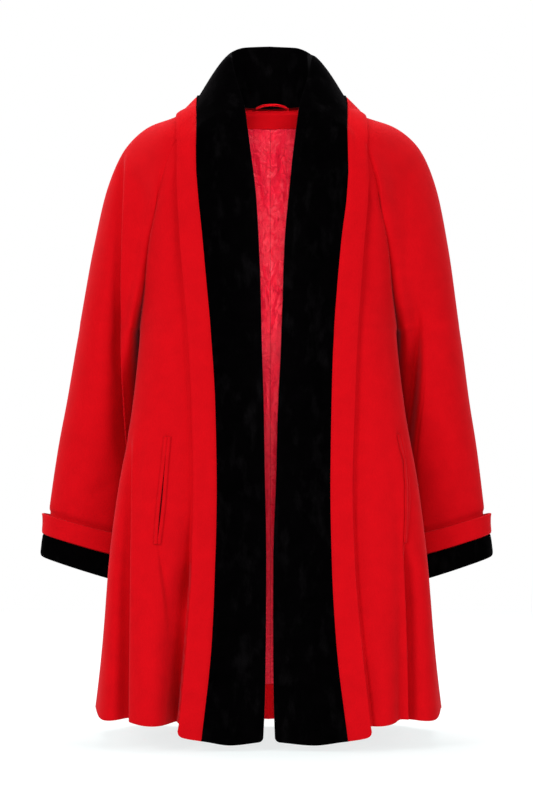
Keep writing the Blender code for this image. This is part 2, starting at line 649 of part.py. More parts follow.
def build_pockets():
    """The two lips of each jetted pocket, on either side of its slit."""
    for side, line in POCKETS.items():
        line_x, line_z = np.array(line)[::-1].T
        slit = [find_on_front(side, np.interp(z, line_z, line_x), z)
                for z in np.linspace(line_z[-1], line_z[0], POCKET_ROWS + 1)]
        for lip, start in (("inner", -LIP_WIDTH - SLIT / 2), ("outer", SLIT / 2)):
            grid = []
            for station, across in slit:
                step = np.linalg.norm(panel_point("front", side, station, across + 0.01)
                                      - panel_point("front", side, station, across)) / 0.01
                grid.append([moved_out(side, station, across + reach / step, LIP_LIFT)
                             for reach in (start, start + LIP_WIDTH)])
            points = np.array(grid)
            cloth_wall(f"pocket_lip_{lip}_{side_name(side)}", points, normals_of(points, side),
                       -LIP_WALL / 2, LIP_WALL / 2, RED_WOOL)


def build_inside():
    """What shows inside the back: the neck facing, the lining and the turned-up hem."""
    high = -WOOL_WALL / 2 - INSIDE_GAP
    for name, rows, wall, colour in (
            ("neck_facing", FACING_ROWS, FACING_WALL, RED_WOOL),
            ("lining_back", LINING_ROWS, LINING_WALL, RED_SATIN),
            ("hem_facing", HEM_FACING_ROWS, FACING_WALL, RED_WOOL)):
        halves = []
        for side in (RIGHT, LEFT):
            points = grid_of(rows, INSIDE_ACROSS, lambda s, a: panel_point("back", side, s, a))
            normals = grid_of(rows, INSIDE_ACROSS, lambda s, a: panel_normal("back", side, s, a))
            normals[:, 0, 0] = 0.0
            halves.append((points, unit(normals)))
        (right, right_normals), (left, left_normals) = halves
        cloth_wall(name, np.concatenate((right[:, ::-1], left[:, 1:]), axis=1),
                   np.concatenate((right_normals[:, ::-1], left_normals[:, 1:]), axis=1),
                   high - wall, high, colour)


def build_hanger_loop():
    """A short cord of cloth across the inside of the back neck, bowed a little upwards."""
    curve = bpy.data.curves.new("hanger_loop", "CURVE")
    curve.dimensions = "3D"
    curve.bevel_depth = LOOP_RADIUS
    curve.bevel_resolution = 1
    curve.use_fill_caps = True
    line = curve.splines.new("POLY")
    line.points.add(LOOP_STEPS)
    for step, point in enumerate(line.points):
        reach = 2 * step / LOOP_STEPS - 1
        bow = math.cos(math.pi * reach / 2)
        point.co = (LOOP_CENTRE[0] + LOOP_HALF * reach, LOOP_CENTRE[1] + LOOP_BOW[0] * bow,
                    LOOP_CENTRE[2] + LOOP_BOW[1] * bow, 1.0)
    curve.materials.append(material_for("hanger_loop", RED_WOOL))
    bpy.context.collection.objects.link(bpy.data.objects.new("hanger_loop", curve))


for item in list(bpy.data.objects):
    bpy.data.objects.remove(item)
build_body_and_sleeves()
build_cuffs()
build_collar()
build_pockets()
build_inside()
build_hanger_loop()
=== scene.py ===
"""Wool swing coat: raglan sleeves, turn-back cuffs and a full-length shawl collar, worn open.

Metres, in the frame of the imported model: +Z up, the front faces -Y, +X is the wearer's left.
Every piece is a thin sheet of cloth whose points come from the coat's own sections, apart from
the hanger loop and the bars of stitches at the pockets, which are cords.
"""

import math

import bmesh
import bpy
import numpy as np
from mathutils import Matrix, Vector, noise
from mathutils.bvhtree import BVHTree


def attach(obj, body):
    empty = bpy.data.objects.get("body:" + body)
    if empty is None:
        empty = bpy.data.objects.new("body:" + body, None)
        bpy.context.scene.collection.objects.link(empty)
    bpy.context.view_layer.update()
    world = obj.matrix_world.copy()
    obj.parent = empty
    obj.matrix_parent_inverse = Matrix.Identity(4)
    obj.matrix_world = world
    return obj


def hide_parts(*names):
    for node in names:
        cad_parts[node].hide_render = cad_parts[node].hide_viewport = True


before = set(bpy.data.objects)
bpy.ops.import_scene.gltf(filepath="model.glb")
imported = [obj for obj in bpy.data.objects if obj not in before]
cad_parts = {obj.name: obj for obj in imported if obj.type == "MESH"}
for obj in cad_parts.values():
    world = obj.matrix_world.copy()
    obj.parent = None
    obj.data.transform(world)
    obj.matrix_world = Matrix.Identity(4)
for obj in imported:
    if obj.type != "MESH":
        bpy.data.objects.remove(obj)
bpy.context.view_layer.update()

# ----------------------------------------
# Stage. The photograph looks straight at the coat from far off, at half its height, with soft
# light all round and a little more of it from the upper left. Narrow boxes with grids shine into
# the open front, weaker towards the hem. The floor is just under the hem.
VIEW_X = -0.003
VIEW_Z = -0.438
VIEW_DISTANCE = 5.0
FLOOR_Z = -0.946
FLOOR_HALF = 3.0

camera = bpy.data.objects.new("camera", bpy.data.cameras.new("camera"))
camera.data.lens = 150.0
camera.data.sensor_fit = "VERTICAL"
camera.data.sensor_height = 36.0
camera.location = (VIEW_X, -VIEW_DISTANCE, VIEW_Z)
camera.rotation_euler = (math.pi / 2, 0.0, 0.0)
bpy.context.scene.collection.objects.link(camera)
bpy.context.scene.camera = camera
bpy.context.scene.view_settings.view_transform = "Standard"


def soft_light(name, place, aim, size, power, height=None, spread=180.0):
    """A soft box at a place, turned to shine at a point; a small spread is a box with a grid."""
    light = bpy.data.lights.new(name, "AREA")
    light.shape = "RECTANGLE"
    light.size = size
    light.size_y = height or size
    light.energy = power
    light.spread = math.radians(spread)
    box = bpy.data.objects.new(name, light)
    box.visible_camera = False
    box.location = place
    box.rotation_euler = (Vector(aim) - Vector(place)).to_track_quat("-Z", "Y").to_euler()
    bpy.context.scene.collection.objects.link(box)


soft_light("front_light", (0.0, -5.4, -0.30), (0.0, 0.0, -0.42), 0.9, 46.0)
soft_light("key_light", (-2.7, -3.6, 1.3), (0.0, 0.0, -0.35), 2.0, 102.0)
soft_light("fill_light", (2.9, -3.4, 1.0), (0.0, 0.0, -0.4), 2.0, 60.0)
soft_light("top_light", (0.0, 0.2, 2.6), (0.0, 0.0, -0.2), 2.0, 26.0)
soft_light("rear_top_light", (0.0, 1.2, 2.5), (0.0, 0.0, -0.3), 2.0, 60.0)
soft_light("rear_light_left", (-4.4, 2.6, 0.9), (0.0, 0.0, -0.4), 2.2, 100.0)
soft_light("rear_light_right", (4.4, 2.6, 0.9), (0.0, 0.0, -0.4), 2.2, 42.0)
STRIP_X = 0.004
STRIP_Y = -1.3
STRIP_WIDTH = 0.07
STRIP_SPREAD = 4.0
for name, height, length, power in (("strip_light", -0.12, 0.48, 0.0935),
                                    ("second_strip_light", -0.41, 0.10, 0.0078),
                                    ("third_strip_light", -0.50, 0.08, 0.0023),
                                    ("low_strip_light", -0.68, 0.62, 0.0390)):
    soft_light(name, (STRIP_X, STRIP_Y, height), (STRIP_X, 0.0, height), STRIP_WIDTH, power,
               length, STRIP_SPREAD)


def add_node(owner, kind, settings=(), **feeds):
    """A new shader node of a material or world. Each feed is a value or another node's output."""
    node = owner.node_tree.nodes.new("ShaderNode" + kind)
    for name, value in settings:
        setattr(node, name, value)
    for name, source in feeds.items():
        socket = node.inputs[name.replace("_", " ")]
        if isinstance(source, bpy.types.NodeSocket):
            owner.node_tree.links.new(source, socket)
        else:
            socket.default_value = source
    return node


WHITE = (1.0, 1.0, 1.0, 1.0)
world = bpy.data.worlds.new("studio")
world.use_nodes = True
surround = world.node_tree.nodes["Background"]
surround.inputs["Color"].default_value = WHITE
surround.inputs["Strength"].default_value = 0.36
backdrop = add_node(world, "Background", Color=WHITE, Strength=1.0)
seen = add_node(world, "LightPath").outputs["Is Camera Ray"]
sky = add_node(world, "MixShader", Fac=seen)
world.node_tree.links.new(surround.outputs["Background"], sky.inputs[1])
world.node_tree.links.new(backdrop.outputs["Background"], sky.inputs[2])
world.node_tree.links.new(sky.outputs["Shader"],
                          world.node_tree.nodes["World Output"].inputs["Surface"])
bpy.context.scene.world = world

floor_shape = bmesh.new()
bmesh.ops.create_grid(floor_shape, x_segments=1, y_segments=1, size=FLOOR_HALF)
bmesh.ops.translate(floor_shape, verts=floor_shape.verts, vec=(0.0, 0.0, FLOOR_Z))
floor_mesh = bpy.data.meshes.new("floor")
floor_shape.to_mesh(floor_mesh)
floor_shape.free()
floor = bpy.data.objects.new("floor", floor_mesh)
bpy.context.scene.collection.objects.link(floor)
floor_paint = bpy.data.materials.new("white_floor")
floor_paint.use_nodes = True
shader = floor_paint.node_tree.nodes["Principled BSDF"]
shader.inputs["Base Color"].default_value = (0.30, 0.30, 0.30, 1.0)
shader.inputs["Roughness"].default_value = 1.0
shader.inputs["Specular IOR Level"].default_value = 0.0
shader.inputs["Emission Color"].default_value = (0.93, 1.0, 1.0, 1.0)
viewed = add_node(floor_paint, "LightPath").outputs["Is Camera Ray"]
glow = add_node(floor_paint, "MapRange", Value=viewed, To_Min=0.54, To_Max=0.77)
floor_paint.node_tree.links.new(glow.outputs["Result"], shader.inputs["Emission Strength"])
floor_mesh.materials.append(floor_paint)

# ----------------------------------------
# Fronts. Each is one panel of red coating wool, cut on a flare and left to hang from the raglan
# seam: it folds round to the side seam, and its flutes open towards the turned-up hem.
RIGHT = -1
LEFT = 1
FOLD_ACROSS = 0.8
FOLD_FADE = 0.04
FOLD_FULL_Z = -0.92
PANEL_WIDTH = 0.27
SEAM_DIP = 0.0003
SEAM_DIP_WIDTH = 0.003
PANEL_TUCK = 0.0100
NECK_FLARE = 0.16
WOOL_WALL = 0.0025
UNDERARM = 6
HEM = 13


class Table:
    """Rows of named columns, read at any fractional row with no overshoot between rows."""

    def __init__(self, columns, rows):
        values = np.array(rows, dtype=float)
        steps = np.diff(values, axis=0)
        slopes = np.empty_like(values)
        slopes[0], slopes[-1] = steps[0], steps[-1]
        product, total = steps[:-1] * steps[1:], steps[:-1] + steps[1:]
        smooth = 2 * product / np.where(total == 0, 1.0, total)
        slopes[1:-1] = np.where(product > 0, smooth, 0.0)
        self.values = dict(zip(columns, values.T))
        self.slopes = dict(zip(columns, slopes.T))
        self.last = len(rows) - 1

    def read(self, name, at):
        """A column's value at fractional rows."""
        line, slopes = self.values[name], self.slopes[name]
        row = np.clip(np.floor(at).astype(int), 0, self.last - 1)
        t = at - row
        inside = (line[row] * (1 + 2 * t) * (1 - t) ** 2 + slopes[row] * t * (1 - t) ** 2
                  + line[row + 1] * t * t * (3 - 2 * t) - slopes[row + 1] * t * t * (1 - t))
        return np.where(t > 1, line[row + 1] + slopes[row + 1] * (t - 1), inside)

    def point(self, part, at):
        """The point whose x, y and z are three of the columns."""
        return np.stack([self.read(f"{part}_{axis}", at) for axis in "xyz"], axis=-1)

    def row_at(self, name, value):
        """The fractional row at which a falling column passes a value."""
        line = self.values[name]
        below = (line[-1] - value) / (line[-2] - line[-1])
        return np.interp(-value, -line, np.arange(self.last + 1)) + np.maximum(below, 0.0)


# Sections of the fronts: the front edge, the breast, and the point where the cloth folds round.
PANEL_COLUMNS = ("edge_z", "edge_y", "breast_x", "breast_y", "fold_x", "fold_y")
FRONT = Table(PANEL_COLUMNS, (
    (-0.052, -0.081, 0.055, -0.086, 0.0895, -0.0575),
    (-0.080, -0.092, 0.068, -0.100, 0.1080, -0.0825),
    (-0.115, -0.101, 0.075, -0.108, 0.1265, -0.0985),
    (-0.165, -0.109, 0.085, -0.117, 0.1480, -0.1040),
    (-0.220, -0.115, 0.096, -0.124, 0.1720, -0.0940),
    (-0.285, -0.119, 0.104, -0.129, 0.1810, -0.0780),
    (-0.330, -0.121, 0.107, -0.132, 0.1865, -0.0740),
    (-0.340, -0.122, 0.107, -0.133, 0.1875, -0.0740),
    (-0.375, -0.124, 0.107, -0.135, 0.1910, -0.0765),
    (-0.460, -0.131, 0.107, -0.141, 0.2010, -0.0870),
    (-0.560, -0.140, 0.107, -0.149, 0.2180, -0.1000),
    (-0.670, -0.151, 0.107, -0.158, 0.2310, -0.1080),
    (-0.790, -0.164, 0.108, -0.170, 0.2405, -0.1120),
    (-0.906, -0.177, 0.110, -0.184, 0.2500, -0.1150),
))

# The raglan seams of front and back down to the underarm, and from there the one side seam.
SEAMS = Table(("front_x", "front_y", "front_z", "back_x", "back_y", "back_z"), (
    (0.100, -0.045, -0.010, 0.090, 0.046, 0.000),
    (0.122, -0.072, -0.033, 0.116, 0.076, -0.024),
    (0.142, -0.090, -0.067, 0.140, 0.099, -0.061),
    (0.160, -0.093, -0.126, 0.160, 0.107, -0.120),
    (0.172, -0.070, -0.202, 0.172, 0.088, -0.200),
    (0.181, -0.035, -0.284, 0.181, 0.045, -0.284),
    (0.187, 0.000, -0.330, 0.187, 0.000, -0.330),
    (0.181, 0.000, -0.339, 0.181, 0.000, -0.339),
    (0.178, 0.000, -0.375, 0.178, 0.000, -0.375),
    (0.180, 0.000, -0.460, 0.180, 0.000, -0.460),
    (0.187, 0.000, -0.560, 0.187, 0.000, -0.560),
    (0.198, 0.000, -0.670, 0.198, 0.000, -0.670),
    (0.222, 0.000, -0.790, 0.222, 0.000, -0.790),
    (0.246, 0.000, -0.899, 0.246, 0.000, -0.899),
))

# The collar's roll, which is the coat's front edge, its seam and its free edge, level by level.
BAND = Table((
    "z", "roll_right", "seam_right", "free_right", "roll_left", "seam_left", "free_left",
    "drop"), (
    (-0.085, 0.0245, 0.1060, 0.1335, 0.0350, 0.1165, 0.1450, 0.022),
    (-0.130, 0.0190, 0.1030, 0.1325, 0.0305, 0.1140, 0.1440, 0.012),
    (-0.200, 0.0145, 0.0965, 0.1290, 0.0240, 0.1065, 0.1390, 0.004),
    (-0.330, 0.0100, 0.0855, 0.1180, 0.0190, 0.0960, 0.1300, 0.000),
    (-0.450, 0.0070, 0.0785, 0.1125, 0.0140, 0.0925, 0.1255, 0.000),
    (-0.570, 0.0045, 0.0765, 0.1100, 0.0100, 0.0910, 0.1225, 0.000),
    (-0.680, 0.0035, 0.0785, 0.1120, 0.0070, 0.0930, 0.1260, 0.000),
    (-0.790, 0.0040, 0.0830, 0.1190, 0.0065, 0.0990, 0.1350, 0.000),
    (-0.880, 0.0055, 0.0920, 0.1270, 0.0075, 0.1090, 0.1445, 0.000),
    (-0.928, 0.0075, 0.0980, 0.1320, 0.0090, 0.1160, 0.1490, 0.000),
))

# Flutes that open towards the hem: how far across the panel, where each starts, how deep it is
# at the hem (out is positive), how wide, and how much lower the hem hangs in it.
FOLD_COLUMNS = ("across", "top_z", "depth", "width", "drop")
FOLDS = {
    ("front", RIGHT): (
        (0.45, -0.55, 0.008, 0.09, 0.007),
        (0.58, -0.42, -0.017, 0.045, -0.003),
        (0.70, -0.50, 0.005, 0.09, 0.004),
        (0.83, -0.50, 0.000, 0.08, -0.014)),
    ("front", LEFT): (
        (0.41, -0.50, 0.008, 0.09, 0.007),
        (0.535, -0.46, -0.017, 0.045, -0.003),
        (0.69, -0.50, 0.006, 0.09, 0.004),
        (0.83, -0.50, 0.000, 0.08, -0.014)),
    ("back", RIGHT): (
        (0.18, -0.42, 0.015, 0.10, 0.004),
        (0.34, -0.50, -0.018, 0.08, -0.004),
        (0.52, -0.36, 0.015, 0.11, 0.003),
        (0.70, -0.55, -0.014, 0.08, -0.003)),
    ("back", LEFT): (
        (0.15, -0.46, 0.014, 0.10, 0.004),
        (0.31, -0.54, -0.017, 0.08, -0.004),
        (0.49, -0.38, 0.016, 0.11, 0.003),
        (0.67, -0.50, -0.015, 0.08, -0.003)),
}

# Soft troughs (-) and ridges (+) of the fronts, from one point to another in x and z: how deep
# and how wide. x counts from the middle towards that side.
CREASE_COLUMNS = ("start_x", "start_z", "end_x", "end_z", "depth", "width")
FRONT_CREASES = {
    RIGHT: (
        (0.130, -0.700, 0.141, -0.960, -0.0120, 0.019),
        (0.205, -0.500, 0.205, -0.640, -0.0015, 0.010),
        (0.120, -0.130, 0.150, -0.330, -0.0020, 0.022),
        (0.150, -0.600, 0.180, -0.960, 0.0030, 0.020)),
    LEFT: (
        (0.130, -0.140, 0.160, -0.330, -0.0020, 0.022),
        (0.150, -0.600, 0.160, -0.960, 0.0030, 0.026),
        (0.128, -0.820, 0.134, -0.960, -0.0040, 0.014)),
}

# Fold edges, where the cloth laps over itself. Each line's points give x from the middle, z and
# the strength there. Lift is how far the cloth comes forward beside the line, towards the middle
# and away from it, and width how far that reaches; lap is how far the higher side hangs over.
EDGE_COLUMNS = ("line", "inner_lift", "inner_width", "outer_lift", "outer_width", "lap")
EDGE_HALF = 0.0022
LAP_REACH = 0.0040
FRONT_EDGES = {
    RIGHT: (
        (((0.1985, -0.490, 0.0), (0.199, -0.520, 0.30), (0.199, -0.600, 0.55),
          (0.199, -0.750, 0.90), (0.1995, -0.920, 1.0)), 0.006, 0.030, -0.020, 0.022, 0.0042),
        (((0.1620, -0.640, 0.0), (0.157, -0.685, 1.0), (0.1500, -0.735, 0.8),
          (0.1455, -0.780, 0.0)), -0.0045, 0.012, 0.0010, 0.010, 0.0)),
    LEFT: (
        (((0.1860, -0.475, 0.0), (0.1885, -0.500, 0.7), (0.1955, -0.527, 1.0),
          (0.1985, -0.565, 1.0), (0.1985, -0.606, 1.0), (0.1960, -0.646, 1.0),
          (0.1955, -0.680, 0.6), (0.1960, -0.715, 0.0)), 0.001, 0.020, -0.0065, 0.030, 0.0),
        (((0.1950, -0.650, 0.0), (0.1955, -0.690, 0.70), (0.1965, -0.728, 1.0),
          (0.1990, -0.790, 1.0), (0.2015, -0.920, 1.0)), 0.004, 0.030, -0.020, 0.022, 0.0040)),
}

# The front falls away behind the collar's free edge, which leaves a shadow along it.
BEHIND_BORDER_Z = (-0.085, -0.300, -0.600, -0.670, -0.710, -0.760, -0.820, -0.880, -0.930)
BEHIND_BORDER = {
    RIGHT: (0.06, 0.09, 0.12, 0.45, 0.75, 0.45, 0.80, 1.10, 1.00),
    LEFT: (0.09, 0.10, 0.12, 0.14, 0.15, 0.17, 0.20, 0.24, 0.24),
}
BEHIND_BORDER_DEPTH = 0.0380
BEHIND_BORDER_WIDTH = 0.0160
BEHIND_BORDER_START = 0.0005
FRONT_WAVE = (0.0010, (0.07, 0.07, 0.22))


def cubic(controls, t):
    """Points on the cubic curves of four control points."""
    first, second, third, fourth = controls
    t = np.asarray(t)[..., None]
    return ((1 - t) ** 3 * first + 3 * (1 - t) ** 2 * t * second
            + 3 * (1 - t) * t * t * third + t ** 3 * fourth)


def unit(vectors):
    """Vectors of length one, along the last axis of an array."""
    return vectors / np.maximum(np.linalg.norm(vectors, axis=-1, keepdims=True), 1e-12)


def soft_step(value):
    """A smooth rise from 0 at -1 to 1 at 1."""
    share = np.clip(value * 0.5 + 0.5, 0.0, 1.0)
    return share * share * (3 - 2 * share)


def side_name(side):
    """The wearer's side, as the end of a piece's name."""
    return "left" if side == LEFT else "right"


def hollow(distance, width):
    """A soft hump of height 1 and of this half width."""
    return np.exp(-(distance / width) ** 2)


def band_x(side, part, z):
    """How far the collar's roll, seam or free edge stands from the middle at each height."""
    return BAND.read(f"{part}_{side_name(side)}", BAND.row_at("z", z))


FLUTE_OPENING = 1.3
FLUTE_LIMIT = 1.1
CREASE_ENDS = 1.2


def fold_pull(panel, side, across, z):
    """How far the flutes push the cloth out, and down."""
    lift, drop = np.zeros_like(z), np.zeros_like(z)
    for row in FOLDS[panel, side]:
        fold = dict(zip(FOLD_COLUMNS, row))
        fall = np.maximum((fold["top_z"] - z) / (fold["top_z"] - FOLD_FULL_Z), 0.0)
        share = np.minimum(fall, FLUTE_LIMIT) ** FLUTE_OPENING
        share = share * hollow(across - fold["across"], fold["width"])
        lift = lift + fold["depth"] * share
        drop = drop + fold["drop"] * share * fall ** 3
    return lift, drop


def section_controls(panel, side, station):
    """The four control points of one panel's section at each station."""
    table = FRONT if panel == "front" else BACK
    z = table.read("edge_z", station)
    edge_x = np.zeros_like(z)
    if panel == "front":
        above = np.maximum(z - BAND.values["z"][0], 0.0)
        edge_x = band_x(side, "roll", z) + PANEL_TUCK + NECK_FLARE * above
    edge = np.stack((side * edge_x, table.read("edge_y", station), z), axis=-1)
    seam = SEAMS.point(panel, station)
    seam[..., 0] *= side

    def place(name, share):
        x, y = table.read(name + "_x", station), table.read(name + "_y", station)
        return np.stack((side * x, y, edge[..., 2] + (seam[..., 2] - edge[..., 2]) * share),
                        axis=-1)

    breast, fold = place("breast", 0.25), place("fold", FOLD_ACROSS)
    t = FOLD_ACROSS
    pull = ((fold - (1 - t) ** 3 * edge - 3 * (1 - t) ** 2 * t * breast - t ** 3 * seam)
            / (3 * (1 - t) * t * t))
    return edge, breast, pull, seam


def panel_point(panel, side, station, across):
    """Points of the front or back, across from its edge (0) to its seam (1)."""
    controls = section_controls(panel, side, station)
    point = cubic(controls, across)
    lift, drop = fold_pull(panel, side, across, point[..., 2])
    run = unit(cubic(controls, across + 0.01) - cubic(controls, across - 0.01))
    forward = side if panel == "front" else -side
    shift = np.stack((run[..., 1] * forward * lift, -run[..., 0] * forward * lift, -drop), axis=-1)
    return point + shift


def normals_at(place, down, across, outward):
    """The cloth's outward directions, from small steps along it."""
    step = 0.004
    run = place(down, across + step) - place(down, across - step)
    fall = place(down + step, across) - place(np.maximum(down - step, 0.0), across)
    return unit(np.cross(fall, run)) * outward


def crease_lift(rows, x, z):
    """How far a table of creases lifts the cloth at points x, z."""
    lift = np.zeros_like(x)
    for row in rows:
        crease = dict(zip(CREASE_COLUMNS, row))
        start = np.array((crease["start_x"], crease["start_z"]))
        run = np.array((crease["end_x"], crease["end_z"])) - start
        offset = np.stack((x, z), axis=-1) - start
        along = offset @ run / (run @ run)
        nearest = np.clip(along, 0.0, 1.0)[..., None] * run
        away = np.linalg.norm(offset - nearest, axis=-1)
        taper = np.clip(CREASE_ENDS - np.abs(2 * along - 1), 0.0, 1.0) ** 0.5
        lift = lift + crease["depth"] * hollow(away, crease["width"]) * taper
    return lift


def fold_shift(rows, x, z):
    """How far a table of fold edges moves the cloth at x, z: forward, and out from the middle."""
    forward, outward = np.zeros_like(x), np.zeros_like(x)
    for row in rows:
        edge = dict(zip(EDGE_COLUMNS, row))
        line_x, line_z, strength = np.array(edge["line"])[::-1].T
        away = x - np.interp(z, line_z, line_x)
        strong = np.interp(z, line_z, strength)
        share = soft_step(away / EDGE_HALF)
        forward += strong * (edge["inner_lift"] * hollow(away, edge["inner_width"]) * (1 - share)
                             + edge["outer_lift"] * hollow(away, edge["outer_width"]) * share)
        reach = away / LAP_REACH
        outward -= np.sqrt(strong) * edge["lap"] * reach * np.exp(0.5 - 0.5 * reach ** 2)
    return forward, outward


def ripple(points, height, scale, seed):
    """Smooth chance up to a height at each point; scale is its size along x, y and z."""
    scaled = points / np.array(scale) + seed
    return height * np.array([noise.noise(Vector(point)) for point in scaled.reshape(-1, 3)])


SEAM_MERGE = 0.00002


def cloth_sheet(name, rows, columns, place, turned, tube=False):
    """A sheet of cloth: a grid whose points place(down, across) puts, both running 0 to 1."""
    grid = bmesh.new()
    bmesh.ops.create_grid(grid, x_segments=columns, y_segments=rows, size=0.5)
    if turned:
        bmesh.ops.reverse_faces(grid, faces=grid.faces)
    mesh = bpy.data.meshes.new(name)
    grid.to_mesh(mesh)
    grid.free()
    flat = np.empty(len(mesh.vertices) * 3, np.float32)
    mesh.vertices.foreach_get("co", flat)
    x, y, _ = flat.reshape(-1, 3).astype(float).T
    points = place(np.clip(0.5 - y, 0.0, 1.0), np.clip(x + 0.5, 0.0, 1.0))
    mesh.vertices.foreach_set("co", points.astype(np.float32).ravel())
    if tube:
        joined = bmesh.new()
        joined.from_mesh(mesh)
        bmesh.ops.remove_doubles(joined, verts=joined.verts, dist=SEAM_MERGE)
        joined.to_mesh(mesh)
        joined.free()
    mesh.shade_smooth()
    piece = bpy.data.objects.new(name, mesh)
    bpy.context.scene.collection.objects.link(piece)
    return piece


def give_wall(piece, wall, edge):
    """Gives a sheet its thickness and rounds its cut or folded edges."""
    solid = piece.modifiers.new("wall", "SOLIDIFY")
    solid.thickness = wall
    solid.offset = 0.0
    rounded = piece.modifiers.new("edge", "BEVEL")
    rounded.width = edge
    rounded.segments = 2
    rounded.limit_method = "ANGLE"
    rounded.angle_limit = math.radians(50)


def colour_ramp(material, value, positions, colours):
    """A colour that runs between two as a pattern's value runs between two positions."""
    ramp = add_node(material, "ValToRGB", Fac=value)
    for element, position, colour in zip(ramp.color_ramp.elements, positions, colours):
        element.position = position
        element.color = (*colour, 1.0)
    return ramp.outputs["Color"]


def colour_mix(material, way, factor, first, second):
    """Two colours mixed, added or multiplied."""
    mix = add_node(material, "Mix", (("data_type", "RGBA"), ("blend_type", way)), Factor=factor,
                   A=first, B=second)
    return mix.outputs["Result"]


def fibre_material(name, colour, fleck, roughness, sheen, sheen_roughness, sheen_tint):
    """Milled wool: a dense nap with a faint grain, its colour uneven by a few hundredths."""
    material = bpy.data.materials.new(name)
    material.use_nodes = True
    links = material.node_tree.links
    surface = material.node_tree.nodes["Principled BSDF"]
    surface.inputs["Roughness"].default_value = roughness
    surface.inputs["Specular IOR Level"].default_value = 0.04
    surface.inputs["Sheen Weight"].default_value = sheen
    surface.inputs["Sheen Roughness"].default_value = sheen_roughness
    surface.inputs["Sheen Tint"].default_value = (*sheen_tint, 1.0)
    where = add_node(material, "TexCoord").outputs["Object"]
    stretch = add_node(material, "Mapping", Vector=where, Scale=(1.0, 1.0, 0.35))
    nap = add_node(material, "TexNoise", Vector=stretch.outputs["Vector"], Scale=900.0, Detail=3.0)
    cloud = add_node(material, "TexNoise", Vector=where, Scale=45.0, Detail=4.0)
    blend = add_node(material, "Mix", (("data_type", "FLOAT"),), Factor=0.55,
                     A=nap.outputs["Fac"], B=cloud.outputs["Fac"])
    darker = [c * (1 - fleck) for c in colour]
    lighter = [min(c * (1 + fleck), 1.0) for c in colour]
    tint = colour_ramp(material, blend.outputs["Result"], (0.30, 0.70), (darker, lighter))
    links.new(tint, surface.inputs["Base Color"])
    bump = add_node(material, "Bump", Height=nap.outputs["Fac"], Strength=0.35, Distance=0.0006)
    links.new(bump.outputs["Normal"], surface.inputs["Normal"])
    return material


red_wool = fibre_material("red_wool", (0.55, 0.0022, 0.0058), 0.08, 0.92, 0.18, 0.35,
                          (1.0, 0.24, 0.28))


def finish_piece(piece, node, material):
    """Puts a finished sheet on the coat, in place of its plain solid where it has one."""
    piece.data.materials.append(material)
    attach(piece, "root")
    if node:
        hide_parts(node)


def front_place(side):
    """Where one front's points lie."""
    top, bottom = FRONT.values["edge_z"][0], FRONT.values["edge_z"][-1]
    behind = (tuple(zip(band_x(side, "free", np.array(BEHIND_BORDER_Z)) + BEHIND_BORDER_START,
                        BEHIND_BORDER_Z, BEHIND_BORDER[side])),
              0.0, 0.010, -BEHIND_BORDER_DEPTH, BEHIND_BORDER_WIDTH, 0.0)
    edges = FRONT_EDGES[side] + (behind,)

    def smooth_place(down, across):
        station = FRONT.row_at("edge_z", top + (bottom - top) * down)
        return panel_point("front", side, station, across)

    def place(down, across):
        points = smooth_place(down, across)
        normals = normals_at(smooth_place, down, across, side)
        x, z = side * points[:, 0], points[:, 2]
        lift = crease_lift(FRONT_CREASES[side], x, z)
        lift += ripple(points, *FRONT_WAVE, 3.1 + side)
        lift -= SEAM_DIP * hollow((1 - across) * PANEL_WIDTH, SEAM_DIP_WIDTH)
        points += normals * lift[:, None]
        forward, outward = fold_shift(edges, x, z)
        facing = np.clip((FOLD_ACROSS + FOLD_FADE - across) / (2 * FOLD_FADE), 0.0, 1.0)
        points[:, 0] += side * outward * facing
        points[:, 1] -= forward * facing
        return points

    return place


FRONT_KNOTS = ((0.0, 0.16, 0.86, 0.96, 1.0), (0.0, 0.22, 0.76, 0.985, 1.0))


def spaced(place, knots):
    """The same sheet with its columns closer together where the knots say."""
    return lambda down, across: place(down, np.interp(across, *knots))


fronts = {}
for side in (RIGHT, LEFT):
    name = "front_" + side_name(side)
    fronts[side] = cloth_sheet(name + "_cloth", 222, 130, spaced(front_place(side), FRONT_KNOTS),
                               side == RIGHT)
    give_wall(fronts[side], WOOL_WALL, edge=0.0006)
    finish_piece(fronts[side], name, red_wool)

# ----------------------------------------
# Back. One panel of the same wool, cut on the fold of the cloth. It hangs from the shoulders in
# four broad flutes and meets the fronts at the side seams.
BACK = Table(PANEL_COLUMNS, (
    (0.001, 0.070, 0.040, 0.072, 0.0785, 0.0540),
    (-0.030, 0.088, 0.050, 0.094, 0.0995, 0.0830),
    (-0.075, 0.105, 0.062, 0.112, 0.1215, 0.1060),
    (-0.130, 0.118, 0.072, 0.125, 0.1420, 0.1180),
    (-0.200, 0.127, 0.088, 0.135, 0.1680, 0.1080),
    (-0.280, 0.133, 0.098, 0.142, 0.1800, 0.0900),
    (-0.330, 0.135, 0.103, 0.145, 0.1865, 0.0830),
    (-0.340, 0.136, 0.104, 0.146, 0.1880, 0.0830),
    (-0.375, 0.138, 0.105, 0.148, 0.1920, 0.0860),
    (-0.460, 0.143, 0.107, 0.153, 0.2020, 0.0960),
    (-0.560, 0.150, 0.109, 0.160, 0.2190, 0.1080),
    (-0.670, 0.158, 0.111, 0.168, 0.2320, 0.1180),
    (-0.790, 0.170, 0.113, 0.180, 0.2420, 0.1240),
    (-0.934, 0.186, 0.116, 0.194, 0.2520, 0.1280),
))
MIDDLE_BLEND = 0.12
BACK_WAVE = (0.0015, (0.08, 0.08, 0.25))
